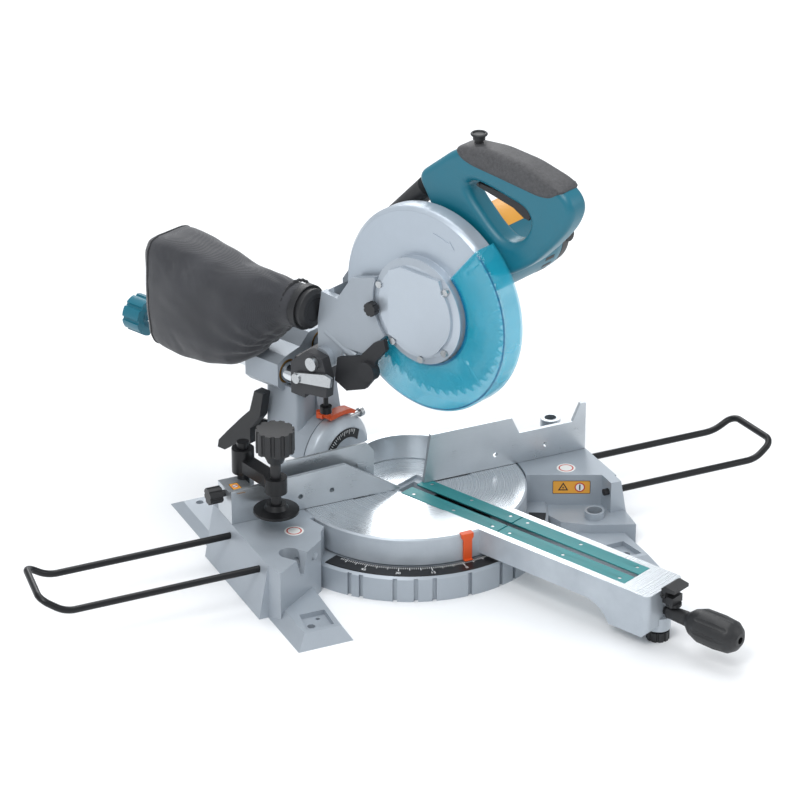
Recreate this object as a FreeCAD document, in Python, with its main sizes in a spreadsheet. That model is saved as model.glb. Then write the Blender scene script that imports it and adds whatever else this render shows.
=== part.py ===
import FreeCAD, Part
import math
import os
import Sketcher

# Sliding compound mitre saw, 216 mm blade, on its bench base with wire work supports.
# Frame: millimetres, +Z up, origin on the floor below the turntable's pivot, -Y towards the operator.
# Everything that turns with the table is drawn with the saw square ("arm frame") and then turned
# by mitre_angle about the pivot, the angle that the saw is stored at.

V = FreeCAD.Vector
doc = FreeCAD.newDocument("mitre_saw")

DIMS = {
    "mitre_angle": 24, "table_top": 66, "table_radius": 135.5, "table_underside": 33,
    "ring_radius": 161, "ring_height": 31, "ring_wall": 8, "detent_width": 5, "detent_depth": 4,
    "pivot_radius": 8, "run_gap": 0.05, "body_gap": 0.4,
    "scale_inner": 138, "scale_outer": 158, "scale_thickness": 1.2,
    "block_side": 225, "flare_side": 237, "block_back": 50, "block_arc": 136.6,
    "foot_x": 197, "foot_y": 165, "foot_bolt_radius": 4.5, "foot_height": 16,
    "wire_radius": 4, "wire_height": 52, "wire_rear_y": -5, "wire_front_y": -90,
    "socket_x": 191, "socket_y": -97, "socket_radius": 9,
    "fence_half": 225, "fence_face_y": -6, "fence_thick": 5, "fence_post_x": 196, "fence_post_y": 28,
    "post_radius": 7, "vise_screw_y": -34, "vise_screw_radius": 6,
    "arm_half": 32, "arm_front": -372, "arm_floor": 36, "board_half": 23, "board_thick": 5,
    "slot_half": 4, "slot_front": -332, "slot_back": 8,
    "grip_y": -375, "grip_z": 38, "grip_slope": 6,
    "bevel_plane": 121, "bevel_gap": 0.5, "dome_radius": 51, "bevel_shaft_end": 196,
    "pole_radius": 12.5, "pole_a_x": -33, "pole_a_z": 172, "pole_b_x": 23, "pole_b_z": 190,
    "pole_front": 119, "pole_rear": 384,
    "head_pivot_y": 105, "head_pivot_z": 205, "head_pin_radius": 5,
    "arbor_y": -30, "arbor_z": 303, "arbor_radius": 8, "blade_radius": 108, "blade_thick": 1.8,
    "case_radius": 119.5, "case_half": 11, "guard_radius": 122.5, "guard_half": 15,
    "guard_skin": 2, "cover_radius": 63, "snout_radius": 20,
    "gear_module": 1.5, "pinion_teeth": 16, "gear_teeth": 68, "gear_lean": 28,
    "motor_radius": 47, "motor_start": 50, "motor_end": 142, "motor_cap_end": 172,
    "handle_x": 32, "handle_half": 17,
}

sheet = doc.addObject("Spreadsheet::Sheet", "dims")
for row, (alias, value) in enumerate(DIMS.items(), start=1):
    sheet.set(f"A{row}", alias)
    sheet.set(f"B{row}", str(value))
    sheet.setAlias(f"B{row}", alias)
doc.recompute()


def formula(text):
    """The text with each driving dimension's name written as a cell of the sheet."""
    for alias in sorted(DIMS, key=len, reverse=True):
        text = text.replace(alias, "dims#" + str(list(DIMS).index(alias)) + "#")
    for index, alias in enumerate(DIMS):
        text = text.replace(f"dims#{index}#", f"dims.{alias}")
    return text


def number(value):
    """A size as a number: either a plain one, or a formula of driving dimensions."""
    if not isinstance(value, str):
        return value
    for alias in sorted(DIMS, key=len, reverse=True):
        value = value.replace(alias, f"({DIMS[alias]})")
    return FreeCAD.Units.Quantity(value).Value


def bind(obj, prop, value):
    """Give a property a number, or tie it to the sheet by a formula."""
    if isinstance(value, str):
        obj.setExpression(prop, formula(value))
        return
    *path, last = prop.split(".")
    if path:
        obj.setExpression(prop, str(value))
    else:
        setattr(obj, last, value)


def span(pair):
    """The length of a (low, high) pair."""
    low, high = pair
    if isinstance(low, str) or isinstance(high, str):
        return f"({high}) - ({low})"
    return high - low


# ---- building blocks: primitives ----

def block(x, y, z):
    """A box from (low, high) pairs."""
    obj = doc.addObject("Part::Box", "block")
    for side, prop, pair in (("x", "Length", x), ("y", "Width", y), ("z", "Height", z)):
        bind(obj, prop, span(pair))
        bind(obj, f"Placement.Base.{side}", pair[0])
    return obj


AXIS_TURN = {"x": (V(0, 1, 0), 90), "y": (V(1, 0, 0), -90), "z": (V(0, 0, 1), 0)}


def rod(axis, centre, along, radius, tip_radius=None):
    """A round bar along an axis; with tip_radius it tapers to that radius at the high end."""
    obj = doc.addObject("Part::Cylinder" if tip_radius is None else "Part::Cone", "rod")
    if tip_radius is None:
        bind(obj, "Radius", radius)
    else:
        bind(obj, "Radius1", radius)
        bind(obj, "Radius2", tip_radius)
    bind(obj, "Height", span(along))
    obj.Placement = FreeCAD.Placement(V(0, 0, 0), FreeCAD.Rotation(*AXIS_TURN[axis]))
    others = [side for side in "xyz" if side != axis]
    bind(obj, f"Placement.Base.{others[0]}", centre[0])
    bind(obj, f"Placement.Base.{others[1]}", centre[1])
    bind(obj, f"Placement.Base.{axis}", along[0])
    return obj


def slant_rod(start, end, radius):
    """A round bar between two points."""
    start = V(*[number(v) for v in start])
    end = V(*[number(v) for v in end])
    obj = doc.addObject("Part::Cylinder", "slant_rod")
    bind(obj, "Radius", radius)
    obj.Height = (end - start).Length
    obj.Placement = FreeCAD.Placement(start, FreeCAD.Rotation(V(0, 0, 1), end - start))
    return obj


def ring(axis, centre, major, minor):
    """A torus about an axis through a centre point."""
    obj = doc.addObject("Part::Torus", "ring")
    obj.Radius1 = major
    obj.Radius2 = minor
    obj.Placement = FreeCAD.Placement(V(*[number(v) for v in centre]),
                                      FreeCAD.Rotation(*AXIS_TURN[axis]))
    return obj


# ---- building blocks: sketched bodies ----

PLANES = {"XY": "XY_Plane", "XZ": "XZ_Plane", "YZ": "YZ_Plane"}


def new_body(plane, offset):
    """A body with an empty sketch on one of its origin planes; offset is (u, v, along normal)."""
    body = doc.addObject("PartDesign::Body", "body")
    sketch = body.newObject("Sketcher::SketchObject", "outline")
    support = [item for item in body.Origin.OriginFeatures if item.Role == PLANES[plane]][0]
    sketch.AttachmentSupport = (support, [""])
    sketch.MapMode = "FlatFace"
    for side, value in zip("xyz", offset):
        bind(sketch, f"AttachmentOffset.Base.{side}", value)
    return body, sketch


def draw(sketch, outline):
    """Draw a closed outline. A 2-tuple is a corner; a 4-tuple is an arc through its first point
    to its second one. Every corner is held by its distances from the sketch's origin."""
    corners = [item[-2:] for item in outline]
    points = [V(number(u), number(v), 0) for u, v in corners]
    count = len(outline)
    for index in range(count):
        start = points[index]
        end = points[(index + 1) % count]
        item = outline[(index + 1) % count]
        if len(item) == 4:
            middle = V(number(item[0]), number(item[1]), 0)
            sketch.addGeometry(Part.Arc(start, middle, end))
        else:
            sketch.addGeometry(Part.LineSegment(start, end))

    def end_of(edge, point):
        geometry = sketch.Geometry[edge]
        near_start = (geometry.StartPoint - point).Length < (geometry.EndPoint - point).Length
        return 1 if near_start else 2

    for index in range(count):
        before = (index - 1) % count
        point = points[index]
        here = end_of(index, point)
        sketch.addConstraint(Sketcher.Constraint("Coincident", before, end_of(before, point),
                                                 index, here))
        for kind, value, size in (("DistanceX", corners[index][0], point.x),
                                  ("DistanceY", corners[index][1], point.y)):
            name = sketch.addConstraint(Sketcher.Constraint(kind, -1, 1, index, here, size))
            if isinstance(value, str):
                sketch.setExpression(f"Constraints[{name}]", formula(value))


def plate(plane, outline, along):
    """An outline in plane XY, XZ or YZ, as thick as the (low, high) pair along its normal."""
    low, high = along
    if plane == "XZ":
        start = f"-({high})"
    else:
        start = low
    body, sketch = new_body(plane, (0, 0, start))
    draw(sketch, outline)
    pad = body.newObject("PartDesign::Pad", "pad")
    pad.Profile = sketch
    bind(pad, "Length", span(along))
    return body


def turned(axis, centre, profile):
    """A lathe shape about an axis. The profile's points are (along the axis, radius)."""
    if axis == "x":
        body, sketch = new_body("XZ", (0, centre[1], f"-({centre[0]})"))
        draw(sketch, profile)
        spindle = "H_Axis"
    elif axis == "y":
        body, sketch = new_body("YZ", (0, centre[1], centre[0]))
        draw(sketch, profile)
        spindle = "H_Axis"
    else:
        body, sketch = new_body("XZ", (centre[0], 0, f"-({centre[1]})"))
        draw(sketch, [tuple(v for pair in zip(item[1::2], item[0::2]) for v in pair)
                      for item in profile])
        spindle = "V_Axis"
    turn = body.newObject("PartDesign::Revolution", "turn")
    turn.Profile = sketch
    turn.ReferenceAxis = (sketch, [spindle])
    turn.Angle = 360
    return body


def loft(bottom, top, z_low, z_high):
    """A pad whose outline changes from bottom to top, both with as many corners."""
    body, sketch = new_body("XY", (0, 0, z_low))
    draw(sketch, bottom)
    upper = body.newObject("Sketcher::SketchObject", "upper")
    support = [item for item in body.Origin.OriginFeatures if item.Role == "XY_Plane"][0]
    upper.AttachmentSupport = (support, [""])
    upper.MapMode = "FlatFace"
    bind(upper, "AttachmentOffset.Base.z", z_high)
    draw(upper, top)
    skin = body.newObject("PartDesign::AdditiveLoft", "loft")
    skin.Profile = sketch
    skin.Sections = [upper]
    skin.Ruled = True
    return body


# ---- building blocks: joining ----

def fuse(*pieces):
    """One solid from several."""
    if len(pieces) == 1:
        return pieces[0]
    obj = doc.addObject("Part::MultiFuse", "fuse")
    obj.Shapes = list(pieces)
    return obj


def cut(piece, *tools):
    """The piece without the tools."""
    obj = doc.addObject("Part::Cut", "cut")
    obj.Base = piece
    obj.Tool = fuse(*tools)
    return obj


def common(first, second):
    """What two pieces share."""
    obj = doc.addObject("Part::Common", "common")
    obj.Base = first
    obj.Tool = second
    return obj


def mirrored(piece):
    """The piece mirrored in the YZ plane."""
    obj = doc.addObject("Part::Mirroring", "mirrored")
    obj.Source = piece
    obj.Normal = V(1, 0, 0)
    return obj


def moved(piece, base, turn_axis=V(0, 0, 1), angle=0):
    """The piece turned and shifted, as a group of one."""
    obj = doc.addObject("Part::Compound", "moved")
    obj.Links = [piece]
    obj.Placement = FreeCAD.Placement(V(*base), FreeCAD.Rotation(turn_axis, angle))
    return obj


def softened(piece, radius, pick):
    """The piece with a fillet on the edges that pick accepts."""
    doc.recompute()
    chosen = [(index, radius, radius)
              for index, edge in enumerate(piece.Shape.Edges, start=1) if pick(edge)]
    obj = doc.addObject("Part::Fillet", "softened")
    obj.Base = piece
    obj.Edges = chosen
    return obj


def along_axis(axis):
    """An edge test: straight edges along an axis."""
    def test(edge):
        if not isinstance(edge.Curve, (Part.Line, Part.LineSegment)):
            return False
        way = edge.Vertexes[-1].Point - edge.Vertexes[0].Point
        return abs(getattr(way, axis)) > 0.999 * way.Length
    return test


def fluted(axis, centre, along, radius, count, groove):
    """A knob: a round bar with grooves along its rim."""
    bar = rod(axis, centre, along, radius)
    grooves = []
    low = f"({along[0]}) - 1" if isinstance(along[0], str) else along[0] - 1
    high = f"({along[1]}) + 1" if isinstance(along[1], str) else along[1] + 1
    for index in range(count):
        angle = 2 * math.pi * index / count
        u = number(centre[0]) + number(radius) * math.cos(angle)
        v = number(centre[1]) + number(radius) * math.sin(angle)
        grooves.append(rod(axis, (u, v), (low, high), groove))
    return cut(bar, *grooves)


def hex_head(axis, centre, along, across):
    """A six-sided bolt head."""
    corner = number(across) / math.sqrt(3)
    points = [(centre[0] + corner * math.cos(math.pi * k / 3),
               centre[1] + corner * math.sin(math.pi * k / 3)) for k in range(6)]
    plane = {"x": "YZ", "y": "XZ", "z": "XY"}[axis]
    return plate(plane, points, along)


NODES = []


def node(label, *pieces, with_table=True):
    """Finish a sub-part: its pieces as one group with its own name, turned with the table if it
    belongs to the part of the saw that turns."""
    obj = doc.addObject("Part::Compound", label)
    obj.Label = label
    obj.Links = list(pieces)
    if with_table:
        obj.setExpression("Placement.Rotation.Angle", "dims.mitre_angle")
    NODES.append(obj)
    return obj


def polar(radius, angle):
    """A point at an angle from the front (-Y), positive to the right."""
    turn = math.radians(angle)
    return radius * math.sin(turn), -radius * math.cos(turn)


# ---- the base ----

def base_casting():
    tub = turned("z", (0, 0), [
        (8, "pivot_radius + run_gap"), (8, 26), (25, 26), (25, "ring_radius - ring_wall"),
        (0, "ring_radius - ring_wall"), (0, "ring_radius"), ("ring_height - 3", "ring_radius"),
        ("ring_height", "ring_radius - 3"), ("ring_height", "pivot_radius + run_gap")])
    detents = []
    for angle in (-50, -45, -31, -22.5, -15, 0, 15, 22.5, 31, 45, 50):
        x, y = polar(DIMS["ring_radius"], angle)
        notch = block(("-detent_width / 2", "detent_width / 2"), ("-detent_depth", 6), (-1, 29))
        detents.append(moved(notch, (x, y, 0), angle=180 + angle))
    tub = cut(tub, *detents)

    left_top = [("-block_side", "block_back"), ("-block_side", -111), (-220, -134), (-175, -102),
                (-148, -81), (-141, -65), (-128, -48), (-100, -40), (-100, "block_back")]
    right_top = [("block_side", "block_back"), (227, -81), (136, -39), (100, -30),
                 (100, "block_back")]
    left = plate("XY", left_top, (0, "table_top"))
    right = plate("XY", right_top, (0, "table_top"))
    flare = plate("XZ", [("-block_side", "table_top"), ("-flare_side", 0), (-190, 0),
                         (-190, "table_top")], (-111, "block_back"))
    right_flare = plate("XZ", [("block_side", "table_top"), ("flare_side", 0), (212, 0),
                               (212, "table_top")], (-97, "block_back"))
    ledge = plate("XY", [(234, -70), (226, -134), (178, -114), (150, -92), (134, -36),
                         (200, -36)], (0, 27))
    tube = rod("z", ("socket_x", "socket_y"), (20, 35.5), "socket_radius + 2.5")
    left_foot = loft([(-226, -197), (-160, -197), (-160, -84), (-226, -84)],
                     [(-214, -186), (-170, -186), (-164, -86), (-214, -86)], 0, "foot_height")
    rear_foot = loft([(-226, 186), (-168, 186), (-112, 70), (-226, 40)],
                     [(-214, 176), (-178, 176), (-122, 70), (-214, 40)], 0, "foot_height - 10")
    shape = fuse(tub, left, right, flare, right_flare, ledge, tube, left_foot,
                 mirrored(left_foot), rear_foot, mirrored(rear_foot))

    table_room = rod("z", (0, 0), ("ring_height", "table_top + 5"), "block_arc")
    column_room = common(rod("z", (0, 0), ("ring_height", "table_top + 5"), 157),
                         block((-160, 160), (20, 100), ("ring_height", "table_top + 5")))
    pointer_room = common(rod("z", (0, 0), (33, "table_top + 5"), 142.4),
                          plate("XY", [(0, 0), polar(200, -60), polar(200, -78)],
                                (33, "table_top + 5")))
    hollow = plate("XY", [(-217, 42), (-217, -104), (-200, -108), (-200, -78), (-166, -78),
                          (-156, -20), (-156, 42)], (-1, "table_top - 7"))
    right_hollow = plate("XY", [(217, 42), (217, -66), (160, -38), (156, -20), (156, 42)],
                         (-1, "table_top - 7"))
    tools = [table_room, column_room, pointer_room, hollow, right_hollow]
    for side in (-1, 1):
        for y in (-1, 1):
            tools.append(rod("z", (f"{side} * foot_x", f"{y} * foot_y"), (-1, 30),
                             "foot_bolt_radius"))
        tray = plate("XY", [(-209, -180), (-176, -180), (-173, -146), (-203, -146)], (10, 20))
        tools.append(tray if side < 0 else mirrored(tray))
        for x, y in ((-183, -173), (-184, -153)):
            tools.append(rod("z", (-side * x, y), (5, 15), 2.5))
        for y in ("wire_rear_y", "wire_front_y"):
            bore = rod("x", (y, "wire_height"), ("-flare_side - 2", -150), "wire_radius + run_gap")
            tools.append(bore if side < 0 else mirrored(bore))
        for y in (30, 5):
            tools.append(rod("z", (side * 150, y), ("table_top - 16", "table_top + 1"), 3))
    tools.append(rod("z", ("socket_x", "socket_y"), (8, 42), "socket_radius"))
    tools.append(rod("z", ("-socket_x - 1", "socket_y + 3"), (20, 67), "socket_radius"))
    tools.append(rod("z", ("-socket_x - 1", "socket_y + 3"), (45, 67), "socket_radius + 3"))
    wedge = plate("XZ", [(-12, 67), (-3, 42), (3, 42), (12, 67)], (-40, 0))
    tools.append(moved(wedge, (-192, -94, 0), angle=35))
    node("base_casting", cut(shape, *tools), with_table=False)


def mitre_scale_plate():
    outer = rod("z", (0, 0), ("ring_height", "ring_height + scale_thickness"), "scale_outer")
    inner = rod("z", (0, 0), ("ring_height - 1", "ring_height + 3"), "scale_inner")
    wedge = plate("XY", [(0, 0), (-190, -100), (-190, -190), (190, -190), (190, -100)],
                  ("ring_height - 1", "ring_height + 3"))
    node("mitre_scale_plate", common(cut(outer, inner), wedge), with_table=False)


def guide_fence():
    foot = "table_top + body_gap"
    face = ("fence_face_y", "fence_face_y + fence_thick")
    left = plate("XZ", [("-fence_half", foot), (-14, foot), (-84, 112), ("-fence_half", 107)], face)
    right = plate("XZ", [("fence_half", foot), ("fence_half", 127), (218, 127), (208, 105),
                         (138, 105), (128, 126.5), (24, 126.5), (15, foot)], face)
    strip = plate("XZ", [(-158, foot), (-158, 121), (-49, 124), (-40, 112), (-40, foot)],
                  (12, 15.5))
    shelf_left = block((-212, -60), ("fence_face_y + 1", 15.5), (foot, "table_top + 10"))
    end_left = block(("-fence_half", -196), ("fence_face_y + 1", 34), (foot, 104))
    shelf_right = block((34, 212), ("fence_face_y + 1", 16), (foot, "table_top + 10"))
    outer = rod("z", (0, 6), (foot, 116), 66)
    inner = rod("z", (0, 6), (60, 120), 60)
    keep = block((-60, 64), (12, 90), (60, 130))
    slope = plate("YZ", [(10, 100), (10, 140), (90, 140), (90, 96), (60, 96)], (-80, 80))
    bridge = cut(common(cut(outer, inner), keep), slope)
    link_left = block((-62, -52), (10, 20), (foot, 100))
    link_right = block((54, 66), (-2, 20), (foot, 100))
    bosses = [rod("z", (f"{side} * fence_post_x", "fence_post_y"), (foot, 98), "post_radius + 5")
              for side in (-1, 1)]
    webs = [block((f"{side} * fence_post_x - 3", f"{side} * fence_post_x + 3"),
                  ("fence_face_y + 1", "fence_post_y"), (foot, 96)) for side in (-1, 1)]
    shape = fuse(left, right, strip, shelf_left, end_left, shelf_right, bridge, link_left,
                 link_right, *bosses, *webs)
    tools = [rod("z", (f"{side} * fence_post_x", "fence_post_y"), (74, 110),
                 "post_radius + run_gap") for side in (-1, 1)]
    for x in (-140, -101, 107, 172):
        tools.append(rod("y", (x, 83), ("fence_face_y - 1", "fence_face_y + fence_thick + 1"), 3))
    for side in (-1, 1):
        tools.append(rod("z", (side * 150, 5), (60, 90), 3.5))
    node("guide_fence", cut(shape, *tools), with_table=False)


def fence_bolts():
    bolts = []
    for side in (-1, 1):
        shank = rod("z", (side * 150, 5), ("table_top - 14", "table_top + 10.2"), 2.9)
        head = hex_head("z", (side * 150, 5), ("table_top + 10.2", "table_top + 15"), 10)
        bolts.append(fuse(shank, head))
    node("fence_bolts", *bolts, with_table=False)


def pivot_bolt():
    shank = rod("z", (0, 0), (4, 46), "pivot_radius")
    head = hex_head("z", (0, 0), (2, 7.6), 24)
    node("pivot_bolt", fuse(shank, head), with_table=False)


def wire_supports():
    """The two wire loops that slide out of the base's sides to carry long work."""
    for label, side, rear_x, front_x, rise in (("left_wire_support", -1, 446, 456, 17),
                                               ("right_wire_support", 1, 400, 409, 15)):
        low = number("wire_height")
        bend = 12
        rear_y = number("wire_rear_y")
        front_y = number("wire_front_y")
        route = [V(side * 196, rear_y, low), V(side * rear_x, rear_y, low),
                 V(side * (rear_x + 26), rear_y - 1, low + rise),
                 V(side * (front_x + 26), front_y + 8, low + rise),
                 V(side * front_x, front_y, low), V(side * 206, front_y, low)]
        edges = []
        start = route[0]
        for before, corner, after in zip(route, route[1:], route[2:]):
            entry = corner + (before - corner).normalize() * bend
            leave = corner + (after - corner).normalize() * bend
            chord_middle = (entry + leave) * 0.5
            half_turn = (before - corner).getAngle(after - corner) / 2
            radius = bend * math.tan(half_turn)
            centre = corner + (chord_middle - corner).normalize() * (bend / math.cos(half_turn))
            middle = centre + (corner - centre).normalize() * radius
            edges.append(Part.LineSegment(start, entry).toShape())
            edges.append(Part.Arc(entry, middle, leave).toShape())
            start = leave
        edges.append(Part.LineSegment(start, route[-1]).toShape())
        path = Part.Wire(edges)
        section = Part.Wire(Part.Circle(route[0], V(side, 0, 0), number("wire_radius")).toShape())
        wire = doc.addObject("Part::Feature", "bent_wire")
        wire.Shape = path.makePipeShell([section], True, False)
        node(label, wire, with_table=False)


def hold_down_vise():
    """The clamp that presses work on the left block: post, arm, screw with knob, and pad."""
    post_at = ("-fence_post_x", "fence_post_y")
    post = rod("z", post_at, (76, 150), "post_radius")
    node("vise_post", post, with_table=False)

    post_x = number("-fence_post_x")
    post_y = number("fence_post_y")
    screw_x = -182
    screw_y = number("vise_screw_y")
    sleeve = rod("z", post_at, (112, 142), "post_radius + 6")
    collar = rod("z", (screw_x, "vise_screw_y"), (112, 131), 13)
    beam = plate("XY", [(post_x - 9, post_y), (screw_x - 9, screw_y), (screw_x + 9, screw_y),
                        (post_x + 9, post_y)], (116, 131))
    arm = cut(fuse(sleeve, collar, beam), rod("z", post_at, (100, 150), "post_radius + run_gap"),
              rod("z", (screw_x, "vise_screw_y"), (100, 150), "vise_screw_radius + run_gap"))
    node("vise_arm", arm, with_table=False)

    at_screw = (screw_x, "vise_screw_y")
    knob = fluted("z", at_screw, (164, 191), 22, 12, 2.6)
    knob = fuse(knob, turned("z", at_screw, [(150, 0), (150, 9), (164, 15), (164, 0)]))
    screw = fuse(rod("z", at_screw, (93.4, 166), "vise_screw_radius"), knob)
    node("vise_screw", screw, with_table=False)

    pad = turned("z", at_screw, [(87.5, 0), (87.5, 26), (90.5, 26), (92.5, 14), (98, 11),
                                 (98, 6.3), (93, 6.3), (93, 0)])
    node("vise_pad", pad, with_table=False)

    knob = fluted("x", (14, 97), (-246, -230), 10, 8, 1.6)
    stem = rod("x", (14, 97), (-230, "-fence_half - body_gap"), 4)
    node("post_lock_knob", fuse(knob, stem), with_table=False)


# ---- the turntable and its arm ----

def turntable_casting():
    disc = turned("z", (0, 0), [
        ("table_underside", "pivot_radius + run_gap"), ("table_underside", 22), (48, 22), (58, 34),
        (58, "table_radius - 6"), ("table_underside", "table_radius - 6"),
        ("table_underside", "table_radius"), ("table_top - 2", "table_radius"),
        ("table_top", "table_radius - 2"), ("table_top", 76), ("table_top - 0.6", 75),
        ("table_top - 0.6", 0), (48, 0),
        (48, "pivot_radius + run_gap")])
    arm = plate("YZ", [(-110, "arm_floor"), (-279, "arm_floor"), (-305, 29, -318, 14),
                       (-364, 14), ("arm_front", 22), ("arm_front", "table_top"),
                       (-110, "table_top")], ("-arm_half", "arm_half"))
    arm = softened(arm, 7, lambda edge: along_axis("z")(edge) and edge.BoundBox.YMin < -370)
    bracket = turned("y", (0, "table_top"), [
        (100, 0), (100, 38), (106, "dome_radius - 5"), (112, "dome_radius"),
        ("bevel_plane - bevel_gap", "dome_radius"), ("bevel_plane - bevel_gap", 0)])
    bracket = common(bracket, block((-60, 60), (90, 130), ("table_underside", 130)))
    boss = rod("z", (0, -363), (14, 30), 14)
    shape = fuse(disc, arm, bracket, boss)
    rear = block((-80, 80), ("bevel_plane - bevel_gap", 140), (30, 70))
    recess = block(("-board_half - 0.2", "board_half + 0.2"), ("slot_front - 0.2", 10),
                   ("table_top - board_thick", 70))
    channel = block((-14, 14), ("slot_front + 6", 6), (50, 62))
    hollow = block((-26, 26), (-350, -128), (5, 54))
    bevel_bore = rod("y", (0, "table_top"), (90, 130), "pivot_radius + run_gap")
    screw_bore = rod("z", (0, -363), (0, 34), "5 + run_gap")
    rod_bore = rod("y", (0, "grip_z"), (-380, -352), "5 + run_gap")
    stop_bore = rod("x", (111, 108), (10, 60), "3.2 + run_gap")
    x, y = polar(DIMS["table_radius"] + 0.2, -21)
    pointer_room = moved(block((-7.3, 8.3), (-1, 5.3), (62.7, 70)), (x, y, 0), angle=-21)
    node("turntable_casting", cut(shape, rear, recess, channel, hollow, bevel_bore, screw_bore,
                                  rod_bore, stop_bore, pointer_room))


def kerf_boards():
    """Plastic boards each side of the cut, two a side, their inner edge bevelled underneath."""
    for label, side in (("kerf_boards_left", -1), ("kerf_boards_right", 1)):
        under = "table_top - board_thick + 0.1"
        top = "table_top + 0.1"
        section = [(side * 23, under), (side * 8, under), (side * 4, "table_top - 1"),
                   (side * 4, top), (side * 23, top)]
        front = plate("XZ", section, ("slot_front", -151))
        rear = plate("XZ", section, (-149.5, -7))
        boards = []
        for board, holes in ((front, (-320, -240, -163)), (rear, (-138, -80, -20))):
            bores = [rod("z", (side * 16, y), (55, 70), 2.1) for y in holes]
            boards.append(cut(board, *bores))
        node(label, *boards)


def kerf_board_screws():
    screws = []
    for side in (-1, 1):
        for y in (-320, -240, -163, -138, -80, -20):
            screws.append(rod("z", (side * 16, y), (61.2, "table_top - 0.4"), 2))
    node("kerf_board_screws", *screws)


def mitre_pointer():
    """The orange index on the turntable's skirt, left of the arm."""
    plate_part = plate("XZ", [(-7, 65), (-7, 61), (-4.5, 58), (-4.5, 33.6), (6, 33.6), (6, 58),
                              (8, 61), (8, 65)], (-3, 0))
    rise = block((-7, 8), (-3, 5), (63, 66.2))
    shape = fuse(plate_part, rise)
    x, y = polar(DIMS["table_radius"] + 0.2, -21)
    tip = plate("XZ", [(-4.5, 33.4), (-4.5, 33.8), (6, 33.8), (6, 33.4)], (-6, 0))
    node("mitre_pointer", moved(fuse(shape, tip), (x, y, 0), angle=-21))


def bevel_scale_plate():
    outer = turned("y", (0, "table_top"), [(98.6, 26), (98.6, 37), (99.8, 37), (99.8, 26)])
    keep = plate("XZ", [(0, 66), (-44, 84), (-44, 120), (30, 120), (14, 66)], (90, 105))
    node("bevel_scale_plate", common(outer, keep))


def front_foot_screw():
    at_foot = (0, -363)
    pad = fluted("z", at_foot, (0, 11), 13, 10, 1.4)
    node("front_foot_screw", fuse(pad, rod("z", at_foot, (10, 32), 5)))


def detent_lever():
    """The thumb lever above the grip that lifts the pawl out of the base's notches."""
    lever = plate("YZ", [(-393, 70), (-393, 74), (-380, 76), (-375, 72), (-375, 60),
                         (-379.5, 60), (-381, 69)], (-13, 13))
    body = block((-9, 9), (-388, -374.2), (52, 61))
    pivot = rod("x", (-376.6, 64), (-15, 15), 1.4)
    drum = fluted("z", (0, -383), (48.6, 52), 9, 10, 1)
    node("detent_lever", fuse(lever, body, drum, pivot))


def mitre_grip():
    """The grip that locks the mitre angle when it is turned, on its rod along the arm."""
    node("grip_rod", rod("y", (0, "grip_z"), (-402, -354), 5))
    grip = turned("y", (0, "grip_z"), [
        (-474, 0), (-474, 8), (-470, 14), (-463, 18.5), (-446, 20), (-424, 19.5), (-412, 15),
        (-404, 8.5), (-380, 7.5), (-377, 7.5), (-377, "5 + run_gap"), (-403, "5 + run_gap"),
        (-403, 0)])
    flats = []
    for index in range(8):
        angle = math.pi * index / 4
        groove = rod("y", (21.5 * math.cos(angle), f"grip_z + {21.5 * math.sin(angle):.3f}"),
                     (-466, -416), 3.2)
        flats.append(groove)
    hole = rod("y", (0, "grip_z"), (-476, -466), 4)
    node("mitre_grip", cut(grip, hole, *flats))


def bevel_stop_bolt():
    top = rod("x", (111, 108), (14, 36), 3.2)
    head = rod("x", (111, 108), (36, 41), 5.5)
    node("bevel_stop_bolt", fuse(top, head))


# ---- the bevel arm ----

def bevel_arm_casting():
    plane = "bevel_plane"
    hub = rod("y", (0, "table_top"), (plane, 152), 32)
    disc = common(rod("y", (0, "table_top"), (plane, 150), "dome_radius + 1"),
                  block((-60, 60), (110, 160), (74, 130)))
    column = plate("XZ", [(-40, 74), (30, 74), (32, 155), (-38, 155)], (136, 188))
    column = softened(column, 9, lambda edge: edge.BoundBox.ZLength > 80
                      and edge.BoundBox.YMax < 137)
    front_rib = plate("YZ", [(122, 74), (150, 74), (150, 150), (136, 150)], (-12, 24))
    housing = plate("XZ", [(-50, 158), (-42, 150), (30, 150), (40, 160), (40, 200), (30, 209),
                           (4, 209), (-12, 196), (-36, 192), (-50, 186)], (160, 212))
    boss = rod("y", (-10, 158), (153, 162), 8)
    shape = fuse(hub, disc, column, front_rib, housing, boss)
    bores = [rod("y", (0, "table_top"), (110, 158), "pivot_radius + run_gap"),
             rod("y", ("pole_a_x", "pole_a_z"), (150, 220), "pole_radius + 2.2"),
             rod("y", ("pole_b_x", "pole_b_z"), (150, 220), "pole_radius + 2.2")]
    flange_room = rod("y", (0, "table_top"), (152, 190), 15.5)
    room = block((-26, 22), (154, 190), (84, 140))
    lock_bore = rod("x", (186, 172), (30, 45), 4.1)
    node("bevel_arm_casting", cut(shape, *bores, lock_bore, flange_room, room))


def pole_bushes():
    bushes = []
    for x, z in (("pole_a_x", "pole_a_z"), ("pole_b_x", "pole_b_z")):
        for low, high in ((161, 178), (194, 211)):
            sleeve = rod("y", (x, z), (low, high), "pole_radius + 2.15")
            bushes.append(cut(sleeve, rod("y", (x, z), (low - 1, high + 1),
                                          "pole_radius + run_gap")))
    node("pole_bushes", *bushes)


def bevel_pivot_shaft():
    shaft = rod("y", (0, "table_top"), (102, "bevel_shaft_end"), "pivot_radius")
    node("bevel_pivot_shaft", fuse(shaft, rod("y", (0, "table_top"), (152.6, 158), 15)))


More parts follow.
